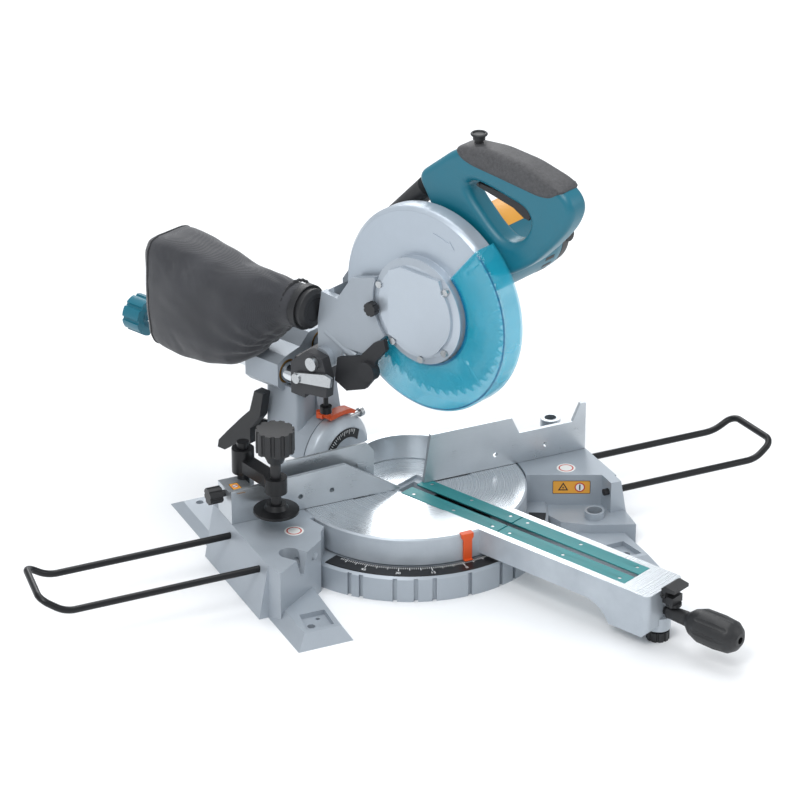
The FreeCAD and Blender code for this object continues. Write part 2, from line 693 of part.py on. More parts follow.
def bevel_lock_lever():
    """The long black clamp lever at the rear, which hangs to the left of the column."""
    hub = rod("y", (0, "table_top"), ("bevel_shaft_end + 0.4", 214), 15)
    link = plate("XZ", [(-4, 54), (-46, 74), (-59, 74), (-59, 104), (-46, 104), (-4, 79)],
                 (198, 212))
    blade = plate("YZ", [(176, 146), (190, 146), (198, 118), (212, 104), (236, 78), (250, 62),
                         (252, 52), (240, 52), (228, 62), (222, 58), (216, 66), (210, 84),
                         (196, 96), (182, 114)], (-59, -46))
    node("bevel_lock_lever", fuse(hub, link, blade))


def bevel_release_lever():
    """The orange stop lever on top of the bevel joint."""
    lever = plate("XZ", [(-21, 122.6), (-19, 119.6), (4, 119.6), (14, 117.4), (22, 114.6),
                         (24, 118), (18, 122), (8, 124.6), (-18, 126)], (105, 118))
    pin = rod("z", (-19, 124), (118.3, 127), 3.5)
    link = block((-22.5, -15.5), (116, 124), (119.6, 124.6))
    node("bevel_release_lever", fuse(lever, link, pin))


def slide_lock_knob():
    stem = rod("x", (186, 172), (34, 52), 4)
    node("slide_lock_knob", fuse(stem, fluted("x", (186, 172), (46, 64), 14, 9, 2)))


# ---- the sliding carriage ----

def slide_poles():
    poles = []
    for x, z in (("pole_a_x", "pole_a_z"), ("pole_b_x", "pole_b_z")):
        pole = rod("y", (x, z), ("pole_front", "pole_rear"), "pole_radius")
        poles.append(cut(pole, rod("y", (x, z), ("pole_front - 1", "pole_rear + 1"),
                                   "pole_radius - 3")))
    node("slide_poles", *poles)


def pole_end_cap():
    """The teal end stop that joins the poles' rear ends."""
    caps = [fluted("y", ("pole_a_x", "pole_a_z"), ("pole_rear + 0.3", 410), 23, 8, 2.6),
            rod("y", ("pole_b_x", "pole_b_z"), ("pole_rear + 0.3", 406), 20)]
    web = plate("XZ", [(-33, 160), (23, 176), (23, 204), (-33, 186)], (386, 400))
    node("pole_end_cap", fuse(*caps, web))


def carriage_casting():
    """The slide's front block, with two ears that hold the head's hinge pin."""
    rear = plate("XZ", [(-48, 156), (38, 170), (39, 204), (-40, 200), (-48, 190)], (119, 141))
    left = plate("YZ", [(141, 158), (86, 166), (84, 190), (92, 214), (116, 217), (141, 196)],
                 (-48, -36))
    right = plate("YZ", [(141, 172), (96, 180), (88, 192), (92, 214), (116, 217), (141, 200)],
                  (27, 39))
    shape = fuse(rear, left, right)
    bores = [rod("y", (x, z), (118, 142), "pole_radius + run_gap")
             for x, z in (("pole_a_x", "pole_a_z"), ("pole_b_x", "pole_b_z"))]
    pin = rod("x", ("head_pivot_y", "head_pivot_z"), (-60, 60), "head_pin_radius + run_gap")
    screw = rod("z", (-42, 92), (150, 200), "3 + run_gap")
    barrel_room = rod("x", ("head_pivot_y", "head_pivot_z"), (-35.6, 26.6), 19)
    node("carriage_casting", cut(shape, *bores, pin, screw, barrel_room))


def head_pivot_pin():
    pin = rod("x", ("head_pivot_y", "head_pivot_z"), (-52, 43), "head_pin_radius")
    head = rod("x", ("head_pivot_y", "head_pivot_z"), (-54, -48.3), 8)
    node("head_pivot_pin", fuse(pin, head))


def depth_stop():
    """The cutting-depth stop: a plate that swings on the left ear, and its long screw."""
    pivot = rod("x", (128, 180), (-55, -48.3), 6)
    swing = plate("YZ", [(132, 176), (122, 176), (76, 184), (74, 196), (84, 198), (132, 186)],
                  (-53, -49))
    node("depth_stop_arm", fuse(pivot, swing))
    screw = rod("z", (-42, 92), (152, 164), 3)
    node("depth_stop_screw", fuse(screw, rod("z", (-42, 92), (144, 152.2), 7)))


# ---- the head ----

ARBOR = ("arbor_y", "arbor_z")


def sector(first, last, reach, along):
    """A wedge about the arbor between two angles, counted from the rear (+Y) over the top."""
    centre_y = number("arbor_y")
    centre_z = number("arbor_z")
    steps = max(2, math.ceil((last - first) / 60) + 1)
    corners = [(centre_y, centre_z)]
    for index in range(steps):
        angle = math.radians(first + (last - first) * index / (steps - 1))
        corners.append((centre_y + reach * math.cos(angle), centre_z + reach * math.sin(angle)))
    return plate("YZ", corners, along)


def blade_case():
    """The fixed upper guard: a shallow drum with a sloping left rim."""
    shell = turned("x", ARBOR, [
        ("-case_half", "cover_radius - 1"), ("-case_half", "case_radius - 5"),
        (-5, "case_radius"), ("case_half", "case_radius"), ("case_half", "snout_radius - 4"),
        ("case_half - 2.5", "snout_radius - 4"), ("case_half - 2.5", "case_radius - 2.5"),
        (-4, "case_radius - 2.5"), ("-case_half + 2.5", "case_radius - 7.5"),
        ("-case_half + 2.5", "cover_radius - 1")])
    upper = common(shell, sector(-40, 130, 260, (-40, 40)))
    seat = turned("x", ARBOR, [("case_half - 2.5", "snout_radius - 4"), ("case_half - 2.5", 58),
                               ("case_half", 58), ("case_half", "snout_radius - 4")])
    collar = turned("x", ARBOR, [(-20, "cover_radius - 5"), (-20, "cover_radius - 1"),
                                 (-8.5, "cover_radius - 1"), (-8.5, "cover_radius - 5")])
    node("blade_case", fuse(upper, seat, collar))


def centre_cover():
    """The round cover over the blade's bolt, with a raised D-shaped shield."""
    dish = turned("x", ARBOR, [(-25, 0), (-25, "cover_radius - 8"), (-22.5, "cover_radius"),
                               (-20.4, "cover_radius"), (-20.4, "cover_radius - 14"),
                               (-21.5, "cover_radius - 16"), (-21.5, 0)])
    shield = plate("YZ", [(8, 266), (8, 344), (-10, 353), (-66, 352), (-71, 340),
                          (-84, 303, -70, 272), (-52, 256, -30, 254)], (-29, -24))
    bores = [rod("x", at_screw, (-30, -20), 4.3) for at_screw in cover_screw_places()]
    node("centre_cover", cut(fuse(dish, shield), *bores))


def cover_screw_places():
    """The five screws along the round cover's edge, as (y, z) points."""
    turns = [math.radians(angle) for angle in (18, 140, 222, 262, 306)]
    return [(number("arbor_y") + 57 * math.cos(turn), number("arbor_z") + 57 * math.sin(turn))
            for turn in turns]


def cover_screws():
    node("cover_screws", *[rod("x", at_screw, (-27, -20.6), 4.2)
                           for at_screw in cover_screw_places()])


def gear_case():
    """Gear case and head arm in one casting: snout round the arbor, walls round the gears, two
    cheeks past the blade case, and the barrel on the hinge pin."""
    motor_y, motor_z = motor_axis()
    snout = rod("x", ARBOR, ("case_half + 0.3", 20), "snout_radius")
    drum = rod("x", ARBOR, (17, 35), 55)
    motor_drum = rod("x", (motor_y, motor_z), (17, "motor_start"), "motor_radius - 9")
    neck = plate("YZ", [(20, 345), (58, 352), (70, 350), (96, 318), (118, 286), (118, 207),
                        (105, 192), (92, 200), (64, 216), (28, 250), (0, 250)], (17, 26))
    left = plate("YZ", [(12, 263), (31, 327), (66, 316), (88, 284), (112, 286), (118, 250),
                        (118, 207), (105, 192), (92, 200), (76, 226), (46, 227)], (-26, -17))
    bridge = plate("YZ", [(66, 224), (76, 221), (98, 222), (118, 207), (118, 250), (112, 284),
                          (100, 292), (99, 278), (94, 262), (86, 246)], (-18, 18))
    barrel = rod("x", ("head_pivot_y", "head_pivot_z"), (-34, 25), 13.4)
    rib = slant_rod((-18.6, 108, 237), (-18.6, 64, 216), 8)
    shape = fuse(snout, drum, motor_drum, neck, left, bridge, barrel, rib)
    gear_room = rod("x", ARBOR, (19.5, 32.5), 53)
    pinion_room = rod("x", (motor_y, motor_z), (19.5, 34), 16)
    shaft_bore = rod("x", ARBOR, (5, 48), "arbor_radius + 3 + run_gap")
    armature_bore = rod("x", (motor_y, motor_z), (33, 60), "5 + run_gap")
    pin_bore = rod("x", ("head_pivot_y", "head_pivot_z"), (-60, 60), "head_pin_radius + run_gap")
    spring_room = rod("x", ("head_pivot_y", "head_pivot_z"), (-14, 8), 17)
    cover_room = rod("x", ARBOR, (-27, -8), "cover_radius + 0.5")
    tube_room = slant_rod((32, 2, 428), (32, 71, 357), 13.3)
    gland_room = slant_rod((32, 70, 358), (32, 90, 337.5), 7.3)
    case_room = common(rod("x", ARBOR, ("-guard_half - 1", "guard_half + 1"), "guard_radius + 1.2"),
                       block(("-guard_half - 1", "guard_half + 1"), (20, 100), (200, 420)))
    node("gear_case", cut(shape, gear_room, pinion_room, shaft_bore, armature_bore, pin_bore,
                          spring_room, cover_room, tube_room, gland_room, case_room))


def motor_axis():
    """Where the motor's shaft lies, one gear centre distance from the arbor."""
    distance = DIMS["gear_module"] * (DIMS["pinion_teeth"] + DIMS["gear_teeth"]) / 2
    lean = math.radians(DIMS["gear_lean"])
    return (DIMS["arbor_y"] - distance * math.sin(lean),
            DIMS["arbor_z"] + distance * math.cos(lean))


def motor():
    y, z = motor_axis()
    shell = turned("x", (y, z), [
        ("motor_start + 0.3", 38), ("motor_start + 0.3", "motor_radius - 3"),
        ("motor_start + 6", "motor_radius"), ("motor_end - 10", "motor_radius"),
        ("motor_end", "motor_radius - 1"), ("motor_end", 42), ("motor_start + 4", 42),
        ("motor_start + 4", 38)])
    node("motor_housing", shell)
    cap = turned("x", (y, z), [
        ("motor_end + 0.3", 40), ("motor_end + 0.3", "motor_radius - 1"),
        ("motor_end + 14", "motor_radius - 3"), ("motor_cap_end - 5", "motor_radius - 10"),
        ("motor_cap_end", "motor_radius - 16"), ("motor_cap_end", 0), ("motor_cap_end - 4", 0),
        ("motor_cap_end - 8", 30), ("motor_end + 12", 38)])
    brush_at = (155, z)
    node("motor_end_cap", cut(cap, rod("y", brush_at, (y - 50, y + 50), 7.3)))
    caps = [rod("y", brush_at, (y - 46, y - 34), 7), rod("y", brush_at, (y + 34, y + 46), 7)]
    node("brush_caps", *caps)


def gear_outline(teeth, module, slack, phase):
    """A gear's outline with straight-sided teeth; slack thins each tooth, phase turns the gear."""
    pitch = module * teeth / 2
    outer = pitch + 0.9 * module
    root = pitch - 1.2 * module
    step = 2 * math.pi / teeth
    corners = []
    for index in range(teeth):
        middle = phase + index * step
        for radius, share in ((root, -0.34), (outer, -0.13), (outer, 0.13), (root, 0.34)):
            angle = middle + share * step + slack / radius * (1 if share < 0 else -1)
            corners.append((radius * math.cos(angle), radius * math.sin(angle)))
    return corners


def solid_from_outline(corners, centre, along):
    """A prism along X from (y, z) corners about a centre, made from one polygon."""
    points = [V(along[0], centre[0] + u, centre[1] + v) for u, v in corners]
    points.append(points[0])
    face = Part.Face(Part.makePolygon(points))
    obj = doc.addObject("Part::Feature", "toothed")
    obj.Shape = face.extrude(V(along[1] - along[0], 0, 0))
    return obj


def drive():
    """Armature with its pinion, and the arbor shaft with the driven gear."""
    y, z = motor_axis()
    toward = math.atan2(number("arbor_z") - z, number("arbor_y") - y)
    pinion_step = 2 * math.pi / DIMS["pinion_teeth"]
    pinion = solid_from_outline(gear_outline(DIMS["pinion_teeth"], DIMS["gear_module"], 0.12,
                                             toward + pinion_step / 2), (y, z), (20.3, 33))
    shaft = rod("x", (y, z), (20.3, 164), 5)
    core = rod("x", (y, z), (74, 122), 26)
    commutator = rod("x", (y, z), (128, 148), 14)
    fan = cut(rod("x", (y, z), (56, 64), 36), rod("x", (y, z), (55, 60), 20))
    node("armature", fuse(pinion, shaft, core, commutator, fan))

    gear = solid_from_outline(gear_outline(DIMS["gear_teeth"], DIMS["gear_module"], 0.12,
                                           toward + math.pi), ARBOR_POINT, (21, 31))
    spindle = rod("x", ARBOR, (1.2, 34.5), "arbor_radius + 3")
    seat = rod("x", ARBOR, (-7, 2), "arbor_radius")
    bolt_hole = rod("x", ARBOR, (-8, 14), "4 + run_gap")
    node("arbor_shaft", cut(fuse(gear, spindle, seat), bolt_hole))


ARBOR_POINT = (DIMS["arbor_y"], DIMS["arbor_z"])


def saw_blade():
    """A plate with 48 hooked teeth and four cooling slots."""
    teeth = 48
    step = 2 * math.pi / teeth
    tip = DIMS["blade_radius"]
    corners = []
    for index in range(teeth):
        angle = index * step
        corners.append((tip * math.cos(angle), tip * math.sin(angle)))
        corners.append(((tip - 1.2) * math.cos(angle + 0.30 * step),
                        (tip - 1.2) * math.sin(angle + 0.30 * step)))
        corners.append(((tip - 6) * math.cos(angle + 0.62 * step),
                        (tip - 6) * math.sin(angle + 0.62 * step)))
        corners.append(((tip - 6.5) * math.cos(angle + 0.92 * step),
                        (tip - 6.5) * math.sin(angle + 0.92 * step)))
    half = DIMS["blade_thick"] / 2
    disc = solid_from_outline(corners, ARBOR_POINT, (-half, half))
    tools = [rod("x", ARBOR, (-3, 3), "arbor_radius + run_gap")]
    for index in range(4):
        angle = math.radians(45 + 90 * index)
        slot = block((-3, 3), (78, 112), (-0.7, 0.7))
        tools.append(moved(slot, (0, ARBOR_POINT[0], ARBOR_POINT[1]), V(1, 0, 0),
                           math.degrees(angle)))
        tools.append(rod("x", (ARBOR_POINT[0] + 78 * math.cos(angle),
                               ARBOR_POINT[1] + 78 * math.sin(angle)), (-3, 3), 3))
    node("saw_blade", cut(disc, *tools))


def blade_clamp():
    inner = cut(rod("x", ARBOR, (1, 4.2), 18), rod("x", ARBOR, (0, 6), "arbor_radius + 3.1"))
    outer = cut(turned("x", ARBOR, [(-6, 0), (-6, 14), (-4.4, 19), (-1, 19), (-1, 0)]),
                rod("x", ARBOR, (-9, 0), "arbor_radius + 0.1"))
    node("blade_flanges", inner, outer)
    head = hex_head("x", ARBOR_POINT, (-14, -7.2), 17)
    node("blade_bolt", fuse(head, rod("x", ARBOR, (-7.4, 12), 4)))


def lower_guard():
    """The clear guard: two side walls and a rim that close round the blade below the case."""
    rim = turned("x", ARBOR, [
        ("-guard_half", "cover_radius + 1.5"), ("-guard_half", "guard_radius - 3"),
        ("-guard_half + 3", "guard_radius"), ("guard_half - 1", "guard_radius"),
        ("guard_half", "guard_radius - 1"), ("guard_half", "snout_radius + 12"),
        ("guard_half - guard_skin", "snout_radius + 12"),
        ("guard_half - guard_skin", "guard_radius - guard_skin"),
        ("-guard_half + 3", "guard_radius - guard_skin"),
        ("-guard_half + guard_skin", "guard_radius - guard_skin - 1.5"),
        ("-guard_half + guard_skin", "cover_radius + 1.5")])
    shell = common(rim, sector(130, 317, 300, (-40, 40)))
    hub = turned("x", ARBOR, [
        ("guard_half - guard_skin", "snout_radius + run_gap"),
        ("guard_half - guard_skin", "snout_radius + 13"), ("guard_half", "snout_radius + 13"),
        ("guard_half", "snout_radius + run_gap")])
    node("lower_guard", fuse(shell, hub))


def handle():
    """D-shaped handle with a soft top grip, brace tube, trigger and lock-off pin."""
    across = ("handle_x - handle_half", "handle_x + handle_half")
    outer = [(6, 446), (-23, 471), (-44, 489), (-66, 498), (-104, 502), (-150, 498), (-190, 488),
             (-212, 479, -217, 462), (-211, 441), (-188, 415), (-160, 385), (-132, 364),
             (-100, 356), (-70, 352), (-50, 352), (-44, 392), (-36, 410), (-10, 416)]
    opening = [(-63, 455), (-78, 461), (-104, 457), (-150, 447), (-158, 438, -154, 424),
               (-146, 408, -126, 401), (-104, 411), (-72, 440)]
    frame = plate("YZ", outer, across)
    trigger_room = plate("YZ", [(-74, 452), (-74, 462), (-156, 456), (-156, 440), (-130, 440)],
                         ("handle_x - 9", "handle_x + 9"))
    grip_room = plate("YZ", GRIP_OUTLINE, (0, 70))
    case_room = rod("x", ARBOR, (0, "guard_half + 1.5"), "guard_radius + 1.5")
    gear_room = rod("x", ARBOR, (0, 70), 55.4)
    drum_room = rod("x", motor_axis(), (0, 60), "motor_radius - 8.6")
    pin_bore = rod("z", ("handle_x", -72), (470, 520), 5.1)
    frame = cut(frame, plate("YZ", opening, (0, 70)), trigger_room, grip_room, case_room,
                pin_bore, drum_room, gear_room)
    node("handle_housing", frame)
    grip = plate("YZ", GRIP_OUTLINE, ("handle_x - handle_half - 1", "handle_x + handle_half + 1"))
    grip = softened(grip, 10, lambda edge: edge.BoundBox.XLength < 0.01
                    and edge.BoundBox.ZMax > 490 and edge.BoundBox.YLength > 30)
    node("handle_grip", cut(grip, rod("z", ("handle_x", -72), (470, 520), 5.4)))
    node("handle_tube", slant_rod((32, 2, 428), (32, 70, 358), 13))
    lever = plate("YZ", [(-77, 452.4), (-77, 457), (-150, 450.4), (-153, 444), (-150, 432),
                         (-143, 433), (-128, 441)], ("handle_x - 7.5", "handle_x + 7.5"))
    pivot = rod("x", (-78, 455), ("handle_x - 8.5", "handle_x + 8.5"), 2)
    node("trigger", fuse(lever, pivot))
    at_pin = ("handle_x", -72)
    pin = fuse(rod("z", at_pin, (478, 508), 5), rod("z", at_pin, (505, 511), 7),
               ring("z", (*at_pin, 511), 8, 1.6))
    node("lock_off_button", pin)


GRIP_OUTLINE = [(-49, 493), (-66, 499), (-104, 503), (-150, 499), (-190, 489), (-204, 482),
                (-186, 468), (-170, 466), (-114, 474), (-70, 477), (-56, 482)]


def dust_path():
    """Rubber chute behind the blade, nozzle, bag ring and the soft dust bag."""
    boot = plate("YZ", [(11, 258), (26, 250), (48, 226), (82, 214), (86, 184), (68, 176),
                        (40, 187), (30, 200), (24, 226), (8, 246)], (-33, -27))
    cap = rod("x", (34, 212), (-38, -26.8), 12)
    node("dust_boot", fuse(boot, cap))
    at_neck = (-30, 262)
    nozzle = turned("y", at_neck, [(118.4, 14), (118.4, 19), (122, 24), (140, 24), (140, 21),
                                   (122.5, 21), (120.5, 16), (120.5, 14)])
    node("dust_nozzle", nozzle)
    node("bag_ring", turned("y", at_neck, [(128, 24.3), (128, 27), (137, 27), (137, 24.3)]))
    side = plate("YZ", [(139, 238), (141, 286), (160, 298), (200, 307), (322, 318), (332, 250),
                        (329, 177), (270, 168), (212, 164), (168, 214)], (-110, -20))
    section = plate("XZ", [(-104, 168), (-108, 230), (-104, 305), (-90, 319), (-36, 319),
                           (-22, 305), (-20, 240), (-24, 214), (-54, 214), (-54, 168),
                           (-70, 158), (-90, 158)], (130, 380))
    inner_side = plate("YZ", [(147, 245), (148, 280), (165, 291), (202, 300), (316, 311),
                              (325, 250), (322, 184), (268, 175), (214, 171), (174, 218)],
                       (-110, -20))
    inner_section = plate("XZ", [(-97, 174), (-101, 230), (-97, 300), (-88, 312), (-38, 312),
                                 (-29, 300), (-27, 240), (-30, 221), (-61, 221), (-61, 174),
                                 (-72, 165), (-88, 165)], (140, 380))
    bag = cut(common(side, section), common(inner_side, inner_section),
              rod("y", at_neck, (120, 150), 24.6))
    node("dust_bag", bag)


def small_parts():
    """Shaft-lock and cable details on the head."""
    node("case_knob", fuse(fluted("x", (30, 291), (-36, -28), 8.5, 8, 1.2),
                           rod("x", (30, 291), (-28, -26.3), 5)))
    node("cord_gland", slant_rod((32, 70.6, 357.4), (32, 88, 339.5), 7))
    coil = turned("x", ("head_pivot_y", "head_pivot_z"), [(-13, 10), (-13, 15), (7, 15), (7, 10)])
    node("return_spring", coil)


BUILDERS = [base_casting, mitre_scale_plate, guide_fence, fence_bolts, pivot_bolt, wire_supports,
            hold_down_vise, turntable_casting, kerf_boards, kerf_board_screws, mitre_pointer,
            bevel_scale_plate, front_foot_screw, detent_lever, mitre_grip, bevel_stop_bolt,
            bevel_arm_casting, pole_bushes, bevel_pivot_shaft, bevel_lock_lever,
            bevel_release_lever, slide_lock_knob, slide_poles, pole_end_cap, carriage_casting,
            head_pivot_pin, depth_stop, blade_case, centre_cover, cover_screws, gear_case, motor,
            drive, saw_blade, blade_clamp, lower_guard, handle, dust_path, small_parts]

for build in BUILDERS:
    build()
doc.recompute()

faults = [f"{obj.Name}: {obj.getStatusString()}" for obj in doc.Objects
          if "Invalid" in obj.State or "Error" in obj.State]
if faults:
    raise SystemExit("failed objects: " + ", ".join(faults))
os.makedirs("parts", exist_ok=True)
for obj in NODES:
    shape = obj.Shape
    if shape.isNull() or not shape.isValid() or not shape.Solids:
        raise SystemExit(f"{obj.Label} has no valid shape")
    shape.exportStep(f"parts/{obj.Label}.step")
    print(f"{obj.Label}: {len(shape.Solids)} solids, {shape.Volume / 1000:.1f} cm3")
print(len(NODES), "nodes")
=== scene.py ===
import math

import bmesh
import bpy
from mathutils import Matrix, Vector, noise
from mathutils.geometry import tessellate_polygon


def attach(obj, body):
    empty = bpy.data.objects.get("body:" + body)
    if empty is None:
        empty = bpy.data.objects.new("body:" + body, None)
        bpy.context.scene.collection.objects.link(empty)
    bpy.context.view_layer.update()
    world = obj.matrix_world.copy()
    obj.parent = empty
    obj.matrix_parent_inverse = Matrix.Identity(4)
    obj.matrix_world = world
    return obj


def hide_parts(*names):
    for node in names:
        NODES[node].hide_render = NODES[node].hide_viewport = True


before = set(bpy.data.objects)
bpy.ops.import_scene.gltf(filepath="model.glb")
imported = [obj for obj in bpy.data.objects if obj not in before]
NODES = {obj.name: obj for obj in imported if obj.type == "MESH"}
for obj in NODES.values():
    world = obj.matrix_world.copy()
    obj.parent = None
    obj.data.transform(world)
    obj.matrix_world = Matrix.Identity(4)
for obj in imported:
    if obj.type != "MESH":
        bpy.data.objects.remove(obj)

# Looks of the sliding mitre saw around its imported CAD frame. The frame is in metres, +Z up, with
# the origin below the turntable's pivot; most sizes here are in millimetres, scaled on the way in.
# Pieces of the turning half are drawn with the saw square and then turned by MITRE about the pivot.

bpy.context.view_layer.update()
MM = 0.001
MITRE = math.radians(24)
ARM = Matrix.Rotation(MITRE, 4, "Z")
STILL = Matrix.Identity(4)
SCALE = Matrix.Scale(MM, 4)
ARBOR = (-30, 303)
NOZZLE = (-30, 262)
HANDLE_MIDDLE = 32.2
BLADE_TEETH = 48
GEAR_DISTANCE = 63
GEAR_LEAN = math.radians(28)
MOTOR = (ARBOR[0] - GEAR_DISTANCE * math.sin(GEAR_LEAN),
         ARBOR[1] + GEAR_DISTANCE * math.cos(GEAR_LEAN))
MOTOR_RADIUS = 47.05
TABLE_TOP = 66


# ---- materials ----

def tint(code):
    """A hex colour as a linear RGBA tuple."""
    parts = [int(code[i:i + 2], 16) / 255 for i in (0, 2, 4)]
    return (*[c / 12.92 if c <= 0.04045 else ((c + 0.055) / 1.055) ** 2.4 for c in parts], 1)


def shaded(colour, factor):
    """A colour made lighter or darker."""
    return (*[min(1, c * factor) for c in colour[:3]], 1)


class Graph:
    """A material's node tree with short helpers."""

    def __init__(self, name, metallic, constants):
        self.material = bpy.data.materials.new(name)
        self.material.use_nodes = True
        self.tree = self.material.node_tree
        self.shader = self.tree.nodes["Principled BSDF"]
        self.shader.inputs["Metallic"].default_value = metallic
        for socket, value in constants.items():
            self.shader.inputs[socket].default_value = value
        self.coords = self.tree.nodes.new("ShaderNodeTexCoord")

    def link(self, output, target):
        self.tree.links.new(output, target)

    def place(self, stretch):
        node = self.tree.nodes.new("ShaderNodeMapping")
        node.inputs["Scale"].default_value = stretch
        self.link(self.coords.outputs["Object"], node.inputs["Vector"])
        return node.outputs["Vector"]

    def noise(self, vector, size, detail=4.0, rough=0.55):
        node = self.tree.nodes.new("ShaderNodeTexNoise")
        node.inputs["Scale"].default_value = 1 / size
        node.inputs["Detail"].default_value = detail
        node.inputs["Roughness"].default_value = rough
        self.link(vector, node.inputs["Vector"])
        return node.outputs["Fac"]

    def spread(self, value, low, high, from_low=0.3, from_high=0.7):
        node = self.tree.nodes.new("ShaderNodeMapRange")
        node.inputs["From Min"].default_value = from_low
        node.inputs["From Max"].default_value = from_high
        node.inputs["To Min"].default_value = low
        node.inputs["To Max"].default_value = high
        self.link(value, node.inputs["Value"])
        return node.outputs["Result"]

    def math(self, operation, first, second):
        node = self.tree.nodes.new("ShaderNodeMath")
        node.operation = operation
        for socket, value in zip(node.inputs, (first, second)):
            if isinstance(value, (int, float)):
                socket.default_value = value
            else:
                self.link(value, socket)
        return node.outputs[0]

    def mix(self, factor, first, second):
        node = self.tree.nodes.new("ShaderNodeMix")
        node.data_type = "RGBA"
        self.link(factor, node.inputs[0])
        for socket, value in ((node.inputs[6], first), (node.inputs[7], second)):
            if isinstance(value, tuple):
                socket.default_value = value
            else:
                self.link(value, socket)
        return node.outputs[2]

    def mix_value(self, factor, first, second):
        node = self.tree.nodes.new("ShaderNodeMix")
        self.link(factor, node.inputs[0])
        for socket, value in ((node.inputs[2], first), (node.inputs[3], second)):
            if isinstance(value, (int, float)):
                socket.default_value = value
            else:
                self.link(value, socket)
        return node.outputs[0]

    def bump(self, height, strength, depth):
        node = self.tree.nodes.new("ShaderNodeBump")
        node.inputs["Strength"].default_value = strength
        node.inputs["Distance"].default_value = depth
        self.link(height, node.inputs["Height"])
        self.link(node.outputs["Normal"], self.shader.inputs["Normal"])

    def axis(self, name, output="Object"):
        node = self.tree.nodes.new("ShaderNodeSeparateXYZ")
        self.link(self.coords.outputs[output], node.inputs[0])
        return node.outputs[name]


def surface(name, code, metallic=0.0, roughness=0.5, mottle=0.06, blotch=0.03, swing=0.06,
            grain=0.2, grain_size=0.0009, stretch=(1, 1, 1), **constants):
    """A finish whose colour and gloss drift a little, with a fine grain in its normal."""
    sockets = {key.replace("_", " "): value for key, value in constants.items()}
    graph = Graph(name, metallic, sockets)
    colour = tint(code)
    cloud = graph.noise(graph.place((1, 1, 1)), blotch)
    fine = graph.noise(graph.place(stretch), grain_size, 3)
    both = graph.math("ADD", graph.math("MULTIPLY", cloud, 0.6), graph.math("MULTIPLY", fine, 0.4))
    graph.link(graph.mix(graph.spread(both, 0, 1), shaded(colour, 1 - mottle),
                         shaded(colour, 1 + mottle)), graph.shader.inputs["Base Color"])
    graph.link(graph.spread(both, roughness - swing, roughness + swing),
               graph.shader.inputs["Roughness"])
    graph.bump(fine, grain, grain_size * 0.25)
    return graph.material


def turned_table():
    """Painted casting whose top is machined in rings about the pivot."""
    graph = Graph("turntable_finish", 0.0, {})
    flat = graph.tree.nodes.new("ShaderNodeVectorMath")
    flat.operation = "LENGTH"
    graph.link(graph.place((1, 1, 0)), flat.inputs[0])
    rings = graph.tree.nodes.new("ShaderNodeTexNoise")
    rings.noise_dimensions = "1D"
    rings.inputs["Scale"].default_value = 900
    rings.inputs["Detail"].default_value = 5
    graph.link(flat.outputs["Value"], rings.inputs["W"])
    fine = graph.noise(graph.place((1, 1, 1)), 0.0009, 3)
    cloud = graph.noise(graph.place((1, 1, 1)), 0.04)
    high = graph.spread(graph.axis("Z"), 0, 1, 0.0646, 0.0652)
    up = graph.spread(graph.axis("Z", "Normal"), 0, 1, 0.9, 0.97)
    mask = graph.math("MULTIPLY", high, up)
    paint = graph.mix(graph.spread(cloud, 0, 1), tint("aab2ba"), tint("bcc4cb"))
    metal = graph.mix(graph.spread(rings.outputs["Fac"], 0, 1), tint("c2c8cd"), tint("dde2e6"))
    graph.link(graph.mix(mask, paint, metal), graph.shader.inputs["Base Color"])
    graph.link(graph.mix_value(mask, 0.35, 0.9), graph.shader.inputs["Metallic"])
    gloss = graph.spread(rings.outputs["Fac"], 0.2, 0.36)
    graph.link(graph.mix_value(mask, graph.spread(cloud, 0.38, 0.5), gloss),
               graph.shader.inputs["Roughness"])
    graph.bump(graph.mix_value(mask, fine, rings.outputs["Fac"]), 0.18, 0.0002)
    return graph.material


def woven(name, code, thread):
    """Woven cloth: two crossing sets of threads, with a soft drift in colour."""
    graph = Graph(name, 0.0, {"Sheen Weight": 0.35, "Sheen Roughness": 0.5,
                              "Specular IOR Level": 0.25})
    colour = tint(code)
    threads = []
    for direction in ("Y", "Z"):
        wave = graph.tree.nodes.new("ShaderNodeTexWave")
        wave.bands_direction = direction
        wave.inputs["Scale"].default_value = 1 / thread / 3.2
        wave.inputs["Distortion"].default_value = 0.6
        wave.inputs["Detail"].default_value = 1.0
        graph.link(graph.coords.outputs["Object"], wave.inputs["Vector"])
        threads.append(wave.outputs["Fac"])
    weave = graph.math("MULTIPLY", threads[0], threads[1])
    cloud = graph.noise(graph.place((1, 1, 1)), 0.05)
    graph.link(graph.mix(graph.spread(graph.math("ADD", graph.math("MULTIPLY", weave, 0.4), cloud),
                                      0, 1, 0.35, 1.0), shaded(colour, 0.78),
                         shaded(colour, 1.22)), graph.shader.inputs["Base Color"])
    graph.link(graph.spread(cloud, 0.72, 0.86), graph.shader.inputs["Roughness"])
    graph.bump(weave, 0.45, thread * 0.4)
    return graph.material


def clear_plastic(name, code, alpha):
    """Tinted clear plastic: see-through face on, denser where it is seen along its surface."""
    graph = Graph(name, 0.0, {"IOR": 1.5, "Specular IOR Level": 0.6})
    colour = tint(code)
    cloud = graph.noise(graph.place((1, 1, 1)), 0.05)
    graph.link(graph.mix(graph.spread(cloud, 0, 1), shaded(colour, 0.92), shaded(colour, 1.08)),
               graph.shader.inputs["Base Color"])
    graph.link(graph.spread(cloud, 0.06, 0.13), graph.shader.inputs["Roughness"])
    facing = graph.tree.nodes.new("ShaderNodeLayerWeight")
    facing.inputs["Blend"].default_value = 0.35
    graph.link(graph.spread(facing.outputs["Facing"], alpha, 0.85, 0.0, 1.0),
               graph.shader.inputs["Alpha"])
    return graph.material


